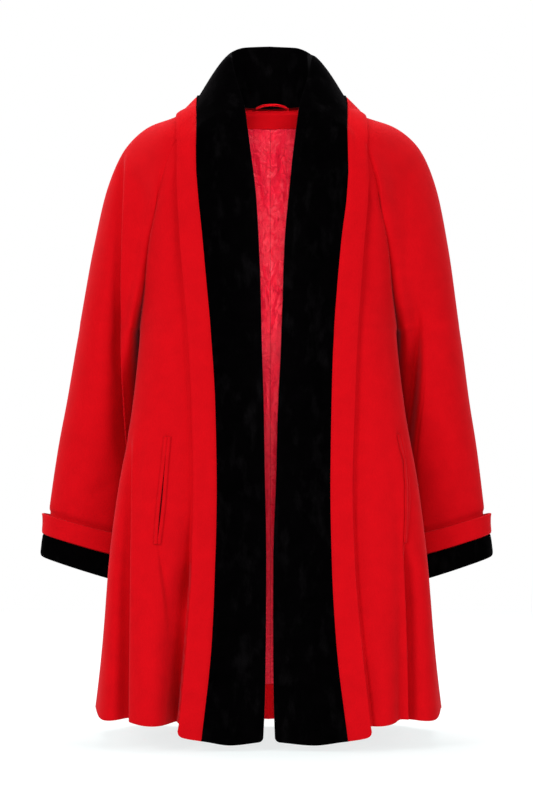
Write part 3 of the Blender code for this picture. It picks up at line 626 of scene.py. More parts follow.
BACK_CREASES = (
    (-0.060, -0.120, -0.090, -0.330, 0.0025, 0.022),
    (0.070, -0.100, 0.085, -0.300, 0.0025, 0.024),
    (0.010, -0.060, 0.004, -0.240, -0.0015, 0.018),
    (-0.150, -0.230, -0.165, -0.400, -0.0030, 0.014),
    (0.155, -0.240, 0.168, -0.420, -0.0030, 0.014),
)


def back_point(station, signed):
    """Points of the whole back, from the wearer's right seam (-1) to the left one (1)."""
    right = panel_point("back", RIGHT, station, np.abs(signed))
    left = panel_point("back", LEFT, station, np.abs(signed))
    share = soft_step(signed / MIDDLE_BLEND)[..., None]
    mirrored = np.array((-1.0, 1.0, 1.0))
    on_left = left * (signed >= 0)[..., None] + left * mirrored * (signed < 0)[..., None]
    on_right = right * (signed < 0)[..., None] + right * mirrored * (signed >= 0)[..., None]
    return on_right * (1 - share) + on_left * share


def back_place(top_row, end_row, reach):
    """Where the points of the back, or of a piece inside it, lie between two of its rows."""
    top, bottom = BACK.read("edge_z", np.array((top_row, end_row), dtype=float))

    def place(down, across):
        station = BACK.row_at("edge_z", top + (bottom - top) * down)
        return back_point(station, (2 * across - 1) * reach)

    return place


def back_cloth(down, across):
    """Where the back's own points lie, with its creases."""
    across = np.interp(across, (0.0, 0.03, 0.97, 1.0), (0.0, 0.01, 0.99, 1.0))
    smooth_place = back_place(0, HEM, 1.0)
    points = smooth_place(down, across)
    normals = normals_at(smooth_place, down, across, -1)
    lift = crease_lift(BACK_CREASES, points[:, 0], points[:, 2])
    lift += ripple(points, *BACK_WAVE, 7.7)
    from_seam = np.minimum(across, 1 - across) * 2 * PANEL_WIDTH
    lift -= 2 * SEAM_DIP * hollow(from_seam, SEAM_DIP_WIDTH)
    return points + normals * lift[:, None]


back = cloth_sheet("back_cloth", 190, 120, back_cloth, True)
give_wall(back, WOOL_WALL, edge=0.0009)
finish_piece(back, "back", red_wool)

# ----------------------------------------
# Raglan sleeves. Each is one piece of the red wool from the neck to the wrist, seamed to the
# body along the raglan line and to itself under the arm. Its cloth drapes in front of the arm.
SLEEVE = Table(
    ("outer_right", "outer_left", "outer_z", "front_bulge", "back_bulge", "turn", "pull"), (
        (0.097, 0.101, 0.003, 0.030, 0.030, 0.000, 1.00),
        (0.139, 0.145, -0.016, 0.046, 0.046, 0.000, 1.00),
        (0.176, 0.185, -0.029, 0.056, 0.060, 0.000, 0.90),
        (0.212, 0.223, -0.060, 0.066, 0.074, 0.004, 0.70),
        (0.240, 0.250, -0.120, 0.074, 0.088, 0.016, 0.35),
        (0.261, 0.268, -0.208, 0.080, 0.100, 0.022, 0.10),
        (0.281, 0.284, -0.322, 0.084, 0.106, 0.020, 0.00),
    ))
TUBE = Table(
    ("inner_x", "inner_z", "outer_right", "outer_left", "outer_z", "front_bulge", "back_bulge",
     "turn", "middle_y"), (
        (0.187, -0.330, 0.281, 0.284, -0.322, 0.084, 0.106, 0.020, 0.000),
        (0.1925, -0.339, 0.282, 0.285, -0.331, 0.084, 0.105, 0.018, -0.001),
        (0.193, -0.375, 0.288, 0.290, -0.366, 0.083, 0.102, 0.014, -0.003),
        (0.199, -0.450, 0.300, 0.299, -0.436, 0.077, 0.090, 0.010, -0.006),
        (0.206, -0.530, 0.3135, 0.3100, -0.508, 0.067, 0.076, 0.006, -0.008),
        (0.212, -0.612, 0.3245, 0.3190, -0.582, 0.057, 0.060, 0.000, -0.008),
        (0.217, -0.705, 0.3350, 0.3295, -0.668, 0.050, 0.048, 0.000, -0.008),
    ))
SLEEVE_END = 5.88
SLEEVE_LEVELS = 400
HANDLE_REACH = 0.40
CROWN_FLATTENS = 0.45
CUFF_DIP = 0.0030
CUFF_DIP_AT = 5.30
CUFF_DIP_WIDTH = 0.05
SLEEVE_GIRTH = 0.40
SLEEVE_WAVE = (0.0012, (0.06, 0.06, 0.20))
DRAPE_FADE = 12
DRAPE_START = 0.006
DRAPE_RISE = 0.03
SLEEVE_CREASES = {
    RIGHT: (
        (0.222, -0.560, 0.260, -0.575, -0.0020, 0.010),
        (0.225, -0.610, 0.270, -0.600, -0.0018, 0.010)),
    LEFT: (
        (0.230, -0.500, 0.265, -0.530, -0.0020, 0.012),
        (0.235, -0.620, 0.275, -0.600, -0.0018, 0.010)),
}


# The cloth in front of the arm hangs in a fold from the shoulder, with a deep valley beside it.
SLEEVE_EDGES = {
    RIGHT: (
        (((0.2135, -0.070, 0.0), (0.2141, -0.100, 0.40), (0.2152, -0.160, 0.50),
          (0.2164, -0.215, 0.55), (0.2176, -0.286, 0.80), (0.2170, -0.350, 1.0),
          (0.2160, -0.405, 1.1), (0.2120, -0.490, 1.0), (0.2100, -0.540, 0.0)),
         0.010, 0.020, -0.020, 0.014, 0.0034),
        (((0.1580, -0.085, 0.0), (0.1680, -0.130, 0.5), (0.1760, -0.195, 0.9),
          (0.1860, -0.250, 1.8), (0.1970, -0.305, 4.0), (0.2030, -0.340, 5.0),
          (0.2060, -0.370, 3.6), (0.2080, -0.400, 1.2), (0.2090, -0.435, 0.0)),
         0.008, 0.012, 0.008, 0.012, 0.0)),
    LEFT: (
        (((0.2045, -0.085, 0.0), (0.2040, -0.120, 0.8), (0.2025, -0.238, 1.0),
          (0.2010, -0.300, 0.8), (0.2005, -0.340, 0.0)), -0.0008, 0.0060, -0.0008, 0.0060, 0.0),
        (((0.1480, -0.060, 0.0), (0.1600, -0.100, 0.7), (0.1700, -0.140, 1.2),
          (0.1780, -0.190, 1.2), (0.1870, -0.250, 1.5), (0.1950, -0.300, 3.0),
          (0.1985, -0.335, 3.4), (0.2010, -0.365, 1.6), (0.2040, -0.395, 0.0)),
         0.008, 0.016, 0.008, 0.016, 0.0),
        (((0.2255, -0.300, 0.0), (0.2265, -0.335, 0.3), (0.2262, -0.365, 0.8),
          (0.2250, -0.390, 1.1), (0.2210, -0.438, 1.3), (0.2150, -0.490, 1.1),
          (0.2125, -0.530, 0.7), (0.2120, -0.565, 0.0)),
         -0.022, 0.020, 0.007, 0.020, -0.0034)),
}


def along_axis(axis, amount):
    """Vectors that run along one axis only."""
    vectors = np.zeros(amount.shape + (3,))
    vectors[..., "xyz".index(axis)] = amount
    return vectors


def lengths_along(points):
    """How far along a line of points each of them lies."""
    return np.concatenate(([0], np.cumsum(np.linalg.norm(np.diff(points, axis=0), axis=1))))


def sleeve_point(side, station, around):
    """Points of the sleeve above the underarm, from its front seam (0) to its back seam (1)."""
    halves = []
    outer = np.stack((side * SLEEVE.read("outer_" + side_name(side), station),
                      np.zeros_like(station), SLEEVE.read("outer_z", station)), axis=-1)
    pull = SLEEVE.read("pull", station)[..., None]
    turn = along_axis("x", side * SLEEVE.read("turn", station))
    for forward, panel in ((-1, "front"), (1, "back")):
        _, _, before, seam = section_controls(panel, side, station)
        bulge = along_axis("y", forward * SLEEVE.read(panel + "_bulge", station))
        reach = np.linalg.norm(outer - seam, axis=-1, keepdims=True) * HANDLE_REACH
        handle = seam + unit(seam - before) * reach * pull + bulge * (1 - pull) + turn
        crown = outer + bulge * (1 - CROWN_FLATTENS * pull)
        halves.append(cubic((seam, handle, crown, outer), 2 * np.minimum(around, 1 - around)))
    return np.where((around < 0.5)[..., None], *halves)


def tube_point(side, station, around):
    """Points of the sleeve below the underarm, round from its seam by the front."""
    middle = TUBE.read("middle_y", station)
    inner = np.stack((side * TUBE.read("inner_x", station), middle,
                      TUBE.read("inner_z", station)), axis=-1)
    outer = np.stack((side * TUBE.read("outer_" + side_name(side), station), middle,
                      TUBE.read("outer_z", station)), axis=-1)
    bulge = along_axis("y", np.where(around < 0.5, -TUBE.read("front_bulge", station),
                                     TUBE.read("back_bulge", station)))
    turn = along_axis("x", side * TUBE.read("turn", station))
    return cubic((inner, inner + bulge + turn, outer + bulge, outer),
                 2 * np.minimum(around, 1 - around))


def arm_point(side, station, around):
    """Points of the whole sleeve: stations 0 to 6 above the underarm, and then the tube's."""
    above = sleeve_point(side, np.minimum(station, UNDERARM), around)
    below = tube_point(side, np.maximum(station - UNDERARM, 0.0), around)
    return np.where((station <= UNDERARM)[..., None], above, below)


def sleeve_place(side):
    """Where one sleeve's points lie."""
    levels = np.linspace(0, UNDERARM + SLEEVE_END, SLEEVE_LEVELS)
    outer = arm_point(side, levels, np.full_like(levels, 0.5))
    lengths = lengths_along(outer)

    def station_at(down):
        return np.interp(down * lengths[-1], lengths, levels)

    def smooth_place(down, around):
        return arm_point(side, station_at(down), np.clip(around, 0.0, 1.0))

    def place(down, around):
        points = smooth_place(down, around)
        normals = normals_at(smooth_place, down, around, side)
        x, z = side * points[:, 0], points[:, 2]
        front = np.clip((0.5 - around) * DRAPE_FADE, 0.0, 1.0)
        lift = crease_lift(SLEEVE_CREASES[side], x, z) * front
        lift += ripple(points, *SLEEVE_WAVE, 11.3 + side)
        station = station_at(down)
        seam = hollow(np.minimum(around, 1 - around) * SLEEVE_GIRTH, SEAM_DIP_WIDTH)
        lift -= SEAM_DIP * seam * (station < UNDERARM)
        lift -= CUFF_DIP * hollow(station - UNDERARM - CUFF_DIP_AT, CUFF_DIP_WIDTH)
        points += normals * lift[:, None]
        forward, outward = fold_shift(SLEEVE_EDGES[side], x, z)
        front *= np.clip((around - DRAPE_START) / DRAPE_RISE, 0.0, 1.0)
        points[:, 0] += side * outward * front
        points[:, 1] -= forward * front
        return points

    return place


SLEEVE_KNOTS = ((0.0, 0.03, 0.50, 0.68, 0.97, 1.0), (0.0, 0.01, 0.33, 0.52, 0.99, 1.0))

sleeves = {}
for side in (RIGHT, LEFT):
    name = "sleeve_" + side_name(side)
    sleeves[side] = cloth_sheet(name + "_cloth", 182, 150,
                                spaced(sleeve_place(side), SLEEVE_KNOTS), side == RIGHT,
                                tube=True)
    give_wall(sleeves[side], WOOL_WALL, edge=0.0006)
    finish_piece(sleeves[side], name, red_wool)

# ----------------------------------------
# Turn-back cuffs. Velvet runs from inside the sleeve round its folded end and up the outside;
# a band of wool is seamed to its top and stands a little proud of the sleeve.
def velvet_material():
    """Black velvet: a deep pile that swallows the light, with painted sheen: its colour is greyer
    in patches where the pile would catch the light.
    """
    material = fibre_material("black_velvet", (0.0006, 0.0005, 0.0006), 0.5, 0.85, 0.050, 0.30,
                              (0.60, 0.58, 0.62))
    surface = material.node_tree.nodes["Principled BSDF"]
    surface.inputs["Specular IOR Level"].default_value = 0.0
    pile = surface.inputs["Base Color"].links[0].from_socket
    # Painted sheen: noise lightens the base colour in patches, standing in for light caught by the
    # pile.
    where = add_node(material, "TexCoord").outputs["Object"]
    stretch = add_node(material, "Mapping", Vector=where, Scale=(1.0, 1.0, 0.45))
    sheen_patch_noise = add_node(material, "TexNoise", Vector=stretch.outputs["Vector"], Scale=48.0,
                       Detail=5.0, Roughness=0.6)
    painted_sheen_patches = colour_ramp(material, sheen_patch_noise.outputs["Fac"], (0.53, 0.80),
                          ((0.0, 0.0, 0.0), (0.0024, 0.0022, 0.0024)))
    material.node_tree.links.new(colour_mix(material, "ADD", 1.0, pile, painted_sheen_patches),
                                 surface.inputs["Base Color"])
    return material


velvet = velvet_material()

# Where each cuff piece runs along the sleeve, in stations, and how far off its cloth it stands.
VELVET_CUFF = Table(("station", "off"), (
    (5.72, -0.0032), (5.90, -0.0034), (6.01, -0.0028), (6.045, 0.0004), (6.02, 0.0044),
    (5.95, 0.0056), (5.80, 0.0056), (5.672, 0.0050)))
WOOL_CUFF = Table(("station", "off"), (
    (5.655, 0.0052), (5.62, 0.0066), (5.50, 0.0072), (5.38, 0.0086), (5.320, 0.0100)))


def cuff_place(side, table):
    """Where the points of one cuff piece lie, rounding the sleeve."""
    def sleeve_at(station, around):
        return tube_point(side, station, np.mod(around, 1.0))

    def place(down, around):
        row = down * table.last
        station, off = table.read("station", row), table.read("off", row)
        normals = normals_at(sleeve_at, station, around, side)
        return sleeve_at(station, around) + normals * off[:, None]

    return place


for side in (RIGHT, LEFT):
    for cloth, table, material, rows, wall in (("wool", WOOL_CUFF, red_wool, 16, 0.0034),
                                               ("velvet", VELVET_CUFF, velvet, 30, 0.0026)):
        name = f"cuff_{cloth}_{side_name(side)}"
        piece = cloth_sheet(name + "_cloth", rows, 90, cuff_place(side, table),
                            (side == RIGHT) == (cloth == "velvet"), tube=True)
        give_wall(piece, wall, edge=0.0012)
        finish_piece(piece, name, material)

# ----------------------------------------
# Shawl collar. The velvet stands up round the neck, rolls over and lies on the fronts down to
# the hem as a facing that is turned back; the halves are seamed at the centre back.
NOSE_RADIUS = 0.0045
BAND_LIFT = 0.0055
FREE_LIFT = 0.0048
BAND_WALL = 0.0030
SHOULDER_CLEAR = 0.0050
LOWEST_FRONT = -0.904
ROLL_ACROSS = 0.35
NOSE_ACROSS = 0.46
BAND_START = 6
# How far the collar's lower edge sags at the roll, the velvet's middle, the seam, the border's
# middle and the free edge.
HEM_CURVE = Table(("sag",), ((0.0055,), (0.0095,), (0.0030,), (0.0000,), (-0.004,)))
CORNER_RADIUS = 0.0075
FOOT_LEAN = 0.004
ROLL_LEAN = 0.002
CREST_RISE = 0.12
CREST_REACH = 0.012
# The collar round the neck, from the centre back to where it turns down the front: the seam at the
# neck, the roll, the velvet's fall, the velvet's seam and the border's free edge. The shift is
# towards the wearer's left on both sides.
NECK = Table(tuple(f"{part}_{axis}" for part in ("foot", "roll", "fall", "seam", "free")
                   for axis in "xyz") + ("shift",), (
    (0.000, 0.066, 0.004, 0.000, 0.084, 0.098, 0.000, 0.109, 0.066,
     0.000, 0.107, 0.026, 0.000, 0.098, -0.010, 0.002),
    (0.042, 0.056, 0.006, 0.037, 0.076, 0.096, 0.052, 0.098, 0.063,
     0.060, 0.098, 0.023, 0.069, 0.094, -0.013, 0.002),
    (0.068, 0.034, 0.010, 0.0585, 0.050, 0.0845, 0.080, 0.066, 0.054,
     0.094, 0.068, 0.020, 0.112, 0.070, -0.010, 0.002),
    (0.078, 0.002, 0.014, 0.0610, 0.016, 0.077, 0.0910, 0.010, 0.045,
     0.1080, 0.006, 0.019, 0.1345, 0.004, -0.008, 0.0045),
    (0.072, -0.030, 0.004, 0.0545, -0.026, 0.044, 0.0885, -0.038, 0.019,
     0.1105, -0.048, -0.006, 0.1370, -0.048, -0.029, 0.005),
    (0.055, -0.056, -0.018, 0.0430, -0.060, 0.004, 0.079, -0.081, -0.015,
     0.1110, -0.090, -0.038, 0.1385, -0.087, -0.061, 0.005),
))


class FrontForm:
    """How far forward one front's cloth stands at any x and z, on an even grid."""
    STEP = 0.002
    X_LAST, Z_FIRST = 0.216, -0.036
    ROWS, COLUMNS = 420, 190
    AHEAD_Y = -0.6

    def __init__(self, side):
        stations = FRONT.row_at("edge_z", np.linspace(FRONT.values["edge_z"][0] + 0.02,
                                                      LOWEST_FRONT - 0.03, self.ROWS))
        across = np.linspace(-0.06, 0.88, self.COLUMNS)
        points = panel_point("front", side, np.repeat(stations, self.COLUMNS),
                             np.tile(across, self.ROWS))
        form = bmesh.new()
        bmesh.ops.create_grid(form, x_segments=self.COLUMNS - 1, y_segments=self.ROWS - 1,
                              size=0.5)
        mesh = bpy.data.meshes.new("front_form")
        form.to_mesh(mesh)
        form.free()
        mesh.vertices.foreach_set("co", points[::-1].astype(np.float32).ravel())
        tree = BVHTree.FromPolygons([vertex.co for vertex in mesh.vertices],
                                    [list(face.vertices) for face in mesh.polygons])
        bpy.data.meshes.remove(mesh)
        columns = int(self.X_LAST / self.STEP) + 1
        rows = int((self.Z_FIRST - LOWEST_FRONT + 0.01) / self.STEP) + 1
        self.heights = np.zeros((rows, columns))
        ahead = Vector((0.0, 1.0, 0.0))
        for row in range(rows):
            known = None
            for column in reversed(range(columns)):
                start = Vector((side * column * self.STEP, self.AHEAD_Y,
                                self.Z_FIRST - row * self.STEP))
                spot = tree.ray_cast(start, ahead)[0]
                known = spot.y if spot else known
                self.heights[row, column] = known if known is not None else np.nan
        for row in range(rows):
            line = self.heights[row]
            gaps = np.isnan(line)
            if gaps.all():
                self.heights[row] = self.heights[row - 1] if row else -0.09
            elif gaps.any():
                line[gaps] = line[~gaps][-1]

    def read(self, x, z):
        """The cloth's y at points x (from the middle) and z."""
        rows, columns = self.heights.shape
        column = np.clip(x / self.STEP, 0, columns - 1.001)
        row = np.clip((self.Z_FIRST - z) / self.STEP, 0, rows - 1.001)
        i, j = row.astype(int), column.astype(int)
        t, u = row - i, column - j
        h = self.heights
        return ((h[i, j] * (1 - u) + h[i, j + 1] * u) * (1 - t)
                + (h[i + 1, j] * (1 - u) + h[i + 1, j + 1] * u) * t)


front_forms = {side: FrontForm(side) for side in (RIGHT, LEFT)}


def on_front(side, x, z, lift):
    """Points over one front that lie x from the middle at height z, or below its hem."""
    level = np.maximum(z, LOWEST_FRONT)
    form, step = front_forms[side], 0.003
    y = form.read(x, level)
    slope_x = side * (form.read(x + step, level) - form.read(x - step, level)) / (2 * step)
    slope_z = (form.read(x, level + step) - form.read(x, level - step)) / (2 * step)
    normals = unit(np.stack((slope_x, -np.ones_like(slope_x), slope_z), axis=-1))
    return np.stack((side * x, y, z), axis=-1) + normals * lift[:, None]


def neck_point(side, station, across):
    """Points of the collar round the neck: stand, roll and fall to 1, and the border to 2."""
    parts = []
    for part in ("foot", "roll", "fall", "seam", "free"):
        point = NECK.point(part, station)
        point[..., 0] = side * point[..., 0] + NECK.read("shift", station)
        parts.append(point)
    foot, roll, fall, seam, free = parts
    stand, out = roll - foot, unit(seam - foot)
    inside = (foot, foot + stand * 0.5 - out * FOOT_LEAN, roll - stand * 0.22 - out * ROLL_LEAN,
              roll)
    crest = roll + stand * CREST_RISE + out * CREST_REACH
    outside = (roll, crest, (8 * fall - roll - 3 * crest - seam) / 3, seam)
    stands = cubic(inside, across / ROLL_ACROSS)
    falls = cubic(outside, (across - ROLL_ACROSS) / (1 - ROLL_ACROSS))
    border = seam + (free - seam) * (across - 1)[..., None]
    points = np.where((across <= ROLL_ACROSS)[..., None], stands, falls)
    return np.where((across > 1)[..., None], border, points)


def band_point(side, station, across):
    """Points of the collar lying on the front: a rounded nose at the roll, then flat."""
    roll, seam, free = (BAND.read(f"{part}_{side_name(side)}", station)
                        for part in ("roll", "seam", "free"))
    at_hem = np.maximum(station - BAND.last + 1, 0.0) ** 2
    reach = np.clip((across - NOSE_ACROSS) / (1 - NOSE_ACROSS), 0.0, 1.0)
    reach = reach + np.maximum(across - 1, 0.0)
    slope = np.where(reach < 1, reach, 1 + 0.3 * (reach - 1))

    def level(place, fall, inward):
        inset = np.clip(1 - inward / CORNER_RADIUS, 0.0, 1.0)
        corner = CORNER_RADIUS * (1 - np.sqrt(1 - inset ** 2))
        return (BAND.read("z", station) - BAND.read("drop", station) * fall
                - (HEM_CURVE.read("sag", 2 * place) - corner) * at_hem)

    turn = np.pi * np.clip(across / NOSE_ACROSS, 0.0, 1.0)
    at_roll = level(np.zeros_like(reach), 0.0, NOSE_RADIUS * (1 - np.sin(turn)))
    middle = on_front(side, roll + PANEL_TUCK, at_roll, np.zeros_like(reach))
    start = roll + NOSE_RADIUS + BAND_WALL / 2
    middle[:, 0] = side * start
    middle[:, 1] += NOSE_RADIUS - BAND_LIFT
    circle = np.stack((-side * np.sin(turn), np.cos(turn), np.zeros_like(turn)), axis=-1)
    nose = middle + circle * NOSE_RADIUS
    x = np.where(across <= 1, start + (seam - start) * reach, seam + (free - seam) * (across - 1))
    lift = BAND_LIFT + (FREE_LIFT - BAND_LIFT) * np.clip(across - 1, 0.0, 1.0)
    inward = np.minimum(x - start + NOSE_RADIUS, free - x)
    flat = on_front(side, x, level(reach, slope, inward), lift)
    return np.where((across <= NOSE_ACROSS)[..., None], nose, flat)


def collar_point(side, station, across):
    """Points of one half of the collar, from the centre back to the hem."""
    last = NECK.last
    at = np.ones_like(station)
    points = np.empty(station.shape + (3,))
    neck, band = station <= last, station >= BAND_START
    between = ~(neck | band)
    points[neck] = neck_point(side, station[neck], across[neck])
    points[band] = band_point(side, station[band] - BAND_START, across[band])
    if between.any():
        at, place = at[between], across[between]
        ends = (neck_point(side, at * (last - 0.5), place), neck_point(side, at * last, place),
                band_point(side, at * 0.0, place), band_point(side, at * 0.5, place))
        lead_in = ends[1] + (ends[1] - ends[0]) * 2 / 3
        lead_out = ends[2] - (ends[3] - ends[2]) * 2 / 3
        points[between] = cubic((ends[1], lead_in, lead_out, ends[2]), station[between] - last)
    return points


def shoulder_tree(side):
    """The cloth that lies under one half of the collar, for finding how high it stands."""
    vertices, faces = [], []
    for piece in (fronts[side], sleeves[side], back):
        first = len(vertices)
        vertices.extend(vertex.co for vertex in piece.data.vertices)
        faces.extend([first + index for index in face.vertices] for face in piece.data.polygons)
    return BVHTree.FromPolygons(vertices, faces)


def lifted_clear(points, tree, clear, movable):
    """Points that stand at least clear off the cloth below them."""
    moved = points.copy()
    for index in np.flatnonzero(movable):
        for _ in range(2):
            spot, normal, _, away = tree.find_nearest(Vector(moved[index]))
            height = (Vector(moved[index]) - spot).dot(normal)
            if away < 0.05 and height < clear:
                moved[index] += np.array(normal) * (clear - height)
    return moved


COLLAR_END = BAND_START + BAND.last
COLLAR_LEVELS = 500
collar_levels = {}
shoulders = {}
for side in (RIGHT, LEFT):
    shoulders[side] = shoulder_tree(side)
    levels = np.linspace(0, COLLAR_END, COLLAR_LEVELS)
    line = collar_point(side, levels, np.full_like(levels, 1.0))
    lengths = lengths_along(line)
    collar_levels[side] = (lengths / lengths[-1], levels)


def collar_place(side, start, end, knots, pillow):
    """Where the points of the velvet or the border lie, from start to end across the collar."""
    def place(down, across):
        station = np.interp(down, *collar_levels[side])
        spot = start + (end - start) * np.interp(across, *knots)
        points = collar_point(side, station, spot)
        step = 0.002
        run = (collar_point(side, station, np.minimum(spot + step, end))
               - collar_point(side, station, np.maximum(spot - step, start)))
        fall = (collar_point(side, np.minimum(station + 0.02, COLLAR_END), spot)
                - collar_point(side, np.maximum(station - 0.02, 0.0), spot))
        normals = unit(np.cross(fall, run)) * side
        free = (station < BAND_START + 2) & (spot > ROLL_ACROSS + 0.02)
        points = lifted_clear(points, shoulders[side], SHOULDER_CLEAR, free)
        return points + normals * pillow(points, spot)[:, None]

    return place


VELVET_WAVE = (0.0008, (0.05, 0.05, 0.12))
VELVET_ACROSS = 0.13
BORDER_WAVE = (0.0005, (0.04, 0.04, 0.10))
BORDER_ACROSS = 0.033
BAND_SEAM_DIP = 0.0016
FREE_EDGE_DIP = 0.0010


def velvet_pillow(points, spot):
    """The velvet is a little full, and dips to the seam of its border."""
    return (ripple(points, *VELVET_WAVE, 21.0)
            - BAND_SEAM_DIP * hollow((1 - spot) * VELVET_ACROSS, SEAM_DIP_WIDTH))


def border_pillow(points, spot):
    """The border dips to the velvet's seam and rounds down to its free edge."""
    return (ripple(points, *BORDER_WAVE, 25.0)
            - BAND_SEAM_DIP * hollow((spot - 1) * BORDER_ACROSS, SEAM_DIP_WIDTH)
            - FREE_EDGE_DIP * hollow((2 - spot) * BORDER_ACROSS, SEAM_DIP_WIDTH))


for side in (RIGHT, LEFT):
    name = "shawl_velvet_" + side_name(side)
    knots = ((0.0, 0.90, 1.0), (0.0, 0.94, 1.0))
    piece = cloth_sheet(name + "_cloth", 300, 44,
                        collar_place(side, 0.0, 0.9975, knots, velvet_pillow), side == RIGHT)
    give_wall(piece, BAND_WALL, edge=0.0012)
    finish_piece(piece, name, velvet)
    name = "shawl_border_" + side_name(side)
    knots = ((0.0, 0.25, 0.75, 1.0), (0.0, 0.12, 0.88, 1.0))
    piece = cloth_sheet(name + "_cloth", 300, 18,
                        collar_place(side, 1.005, 2.0, knots, border_pillow), side == RIGHT)
    give_wall(piece, wall=0.0036, edge=0.0014)
    finish_piece(piece, name, red_wool)

# ----------------------------------------
# Jetted pockets. A slanted slit in each front is bound by two narrow lips of the same wool, which
# part a little over pocketing cloth coloured a deep dark red as painted shade, for the shadow down
# in the slit. A bar of stitches holds each end of the slit.
POCKETS = {
    RIGHT: ((0.1470, -0.493), (0.1612, -0.648)),
    LEFT: ((0.1890, -0.490), (0.1970, -0.527), (0.2005, -0.565), (0.2005, -0.606),
           (0.1975, -0.646)),
}
LIP_WIDTH = 0.0046
LIP_LIFT = 0.0024
LIP_ROUND = 0.0012
SLIT_GAPE = {RIGHT: 0.0011, LEFT: 0.0004}
POCKETING_LIFT = 0.0018
SLIT_HALF = 0.0002
BAR_HALF = 0.0046
BAR_RADIUS = 0.0006
BAR_POINTS = 7
SLIT_LEVELS = 24
SLIT_SEARCH = (0.2, 0.8, 1500)


def slit_finder(side):
    """A function that gives points beside one pocket's slit, standing off the front's cloth."""
    surface = front_place(side)
    top, bottom = FRONT.values["edge_z"][0], FRONT.values["edge_z"][-1]
    line_x, line_z = np.array(POCKETS[side])[::-1].T
    heights = np.linspace(line_z[-1], line_z[0], SLIT_LEVELS)
    downs = (heights - top) / (bottom - top)
    trial = np.linspace(*SLIT_SEARCH)
    reaches = []
    for down, height in zip(downs, heights):
        points = surface(np.full_like(trial, down), trial)
        target = np.interp(height, line_z, line_x)
        reaches.append(trial[np.argmax(side * points[:, 0] > target)])
    reaches = np.polyval(np.polyfit(downs, reaches, 3), downs)

    def beside(share, off, lift):
        down = downs[0] + (downs[-1] - downs[0]) * share
        across = np.interp(down, downs, reaches)
        step = 0.004
        width = np.linalg.norm(surface(down, across + step) - surface(down, across - step), axis=1)
        across = across + off / width * 2 * step
        normals = normals_at(surface, down, across, side)
        return surface(down, across) + normals * lift[:, None]

    return beside


def gape(side, share):
    """Half the slit's opening, widest in its lower half and shut at both ends."""
    return SLIT_GAPE[side] * np.sin(np.pi * np.clip(share, 0.0, 1.0) ** 1.6) ** 1.5


def cord_piece(name, points, radius, material):
    """A round cord or a bar of stitches that follows these points."""
    curve = bpy.data.curves.new(name, "CURVE")
    curve.dimensions = "3D"
    curve.bevel_depth = radius
    curve.bevel_resolution = 3
    curve.use_fill_caps = True
    line = curve.splines.new("POLY")
    line.points.add(len(points) - 1)
    for spot, point in zip(line.points, points):
        spot.co = (*point, 1.0)
    piece = bpy.data.objects.new(name, curve)
    bpy.context.scene.collection.objects.link(piece)
    curve.materials.append(material)
    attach(piece, "root")
    return piece


# Painted shade: the pocketing's deep dark red stands for the shadow inside the slit.
pocketing_painted_shade = fibre_material("pocketing_painted_shade", (0.080, 0.0006, 0.0016), 0.20, 0.95, 0.0, 0.4,
                           (1.0, 1.0, 1.0))
red_thread = fibre_material("red_thread", (0.42, 0.002, 0.004), 0.10, 0.60, 0.0, 0.4,
                            (1.0, 0.3, 0.3))

for side in (RIGHT, LEFT):
    beside = slit_finder(side)
    for lip, way in (("inner", -1), ("outer", 1)):
        def lip_place(share, across):
            off = way * (SLIT_HALF + gape(side, share) + LIP_WIDTH * across)
            return beside(share, off, LIP_LIFT + LIP_ROUND * np.sin(np.pi * across))

        name = f"pocket_lip_{lip}_{side_name(side)}"
        piece = cloth_sheet(name + "_cloth", 60, 8, lip_place, (side == RIGHT) != (lip == "inner"))
        give_wall(piece, wall=0.0018, edge=0.0007)
        finish_piece(piece, name, red_wool)

    def pocketing_place(share, across):
        off = (2 * across - 1) * (gape(side, share) + 0.5 * LIP_WIDTH)
        return beside(share, off, np.full_like(share, POCKETING_LIFT))

    piece = cloth_sheet("pocketing_" + side_name(side), 60, 6, pocketing_place, side == RIGHT)
    give_wall(piece, wall=0.0006, edge=0.0002)
    finish_piece(piece, None, pocketing_painted_shade)

    for end, share in (("top", 0.0), ("low", 1.0)):
        across_bar = np.linspace(-BAR_HALF, BAR_HALF, BAR_POINTS)
        spots = beside(np.full(BAR_POINTS, share), across_bar,
                       np.full(BAR_POINTS, LIP_LIFT + LIP_ROUND))
        cord_piece(f"pocket_bar_{end}_{side_name(side)}", spots, BAR_RADIUS, red_thread)

# ----------------------------------------
# Inside of the back: a wool facing below the neck seam, the crinkled satin lining that is sewn to
# it and seamed down the middle, and the coat's own wool turned up at the hem.
FACING_ROWS = (-0.08, 0.83)
LINING_ROWS = (0.845, 12.62)
HEM_FACING_ROWS = (12.55, 12.97)
INSIDE_REACH = 0.90
INSIDE_KNOTS = ((0.0, 0.22, 0.50, 0.78, 1.0), (0.0, 0.41, 0.50, 0.59, 1.0))
CENTRE_SEAM_X = 0.0028
SEAM_HALF = 0.0006
SEAM_SHADE = (0.62, 0.45, 0.48, 1.0)


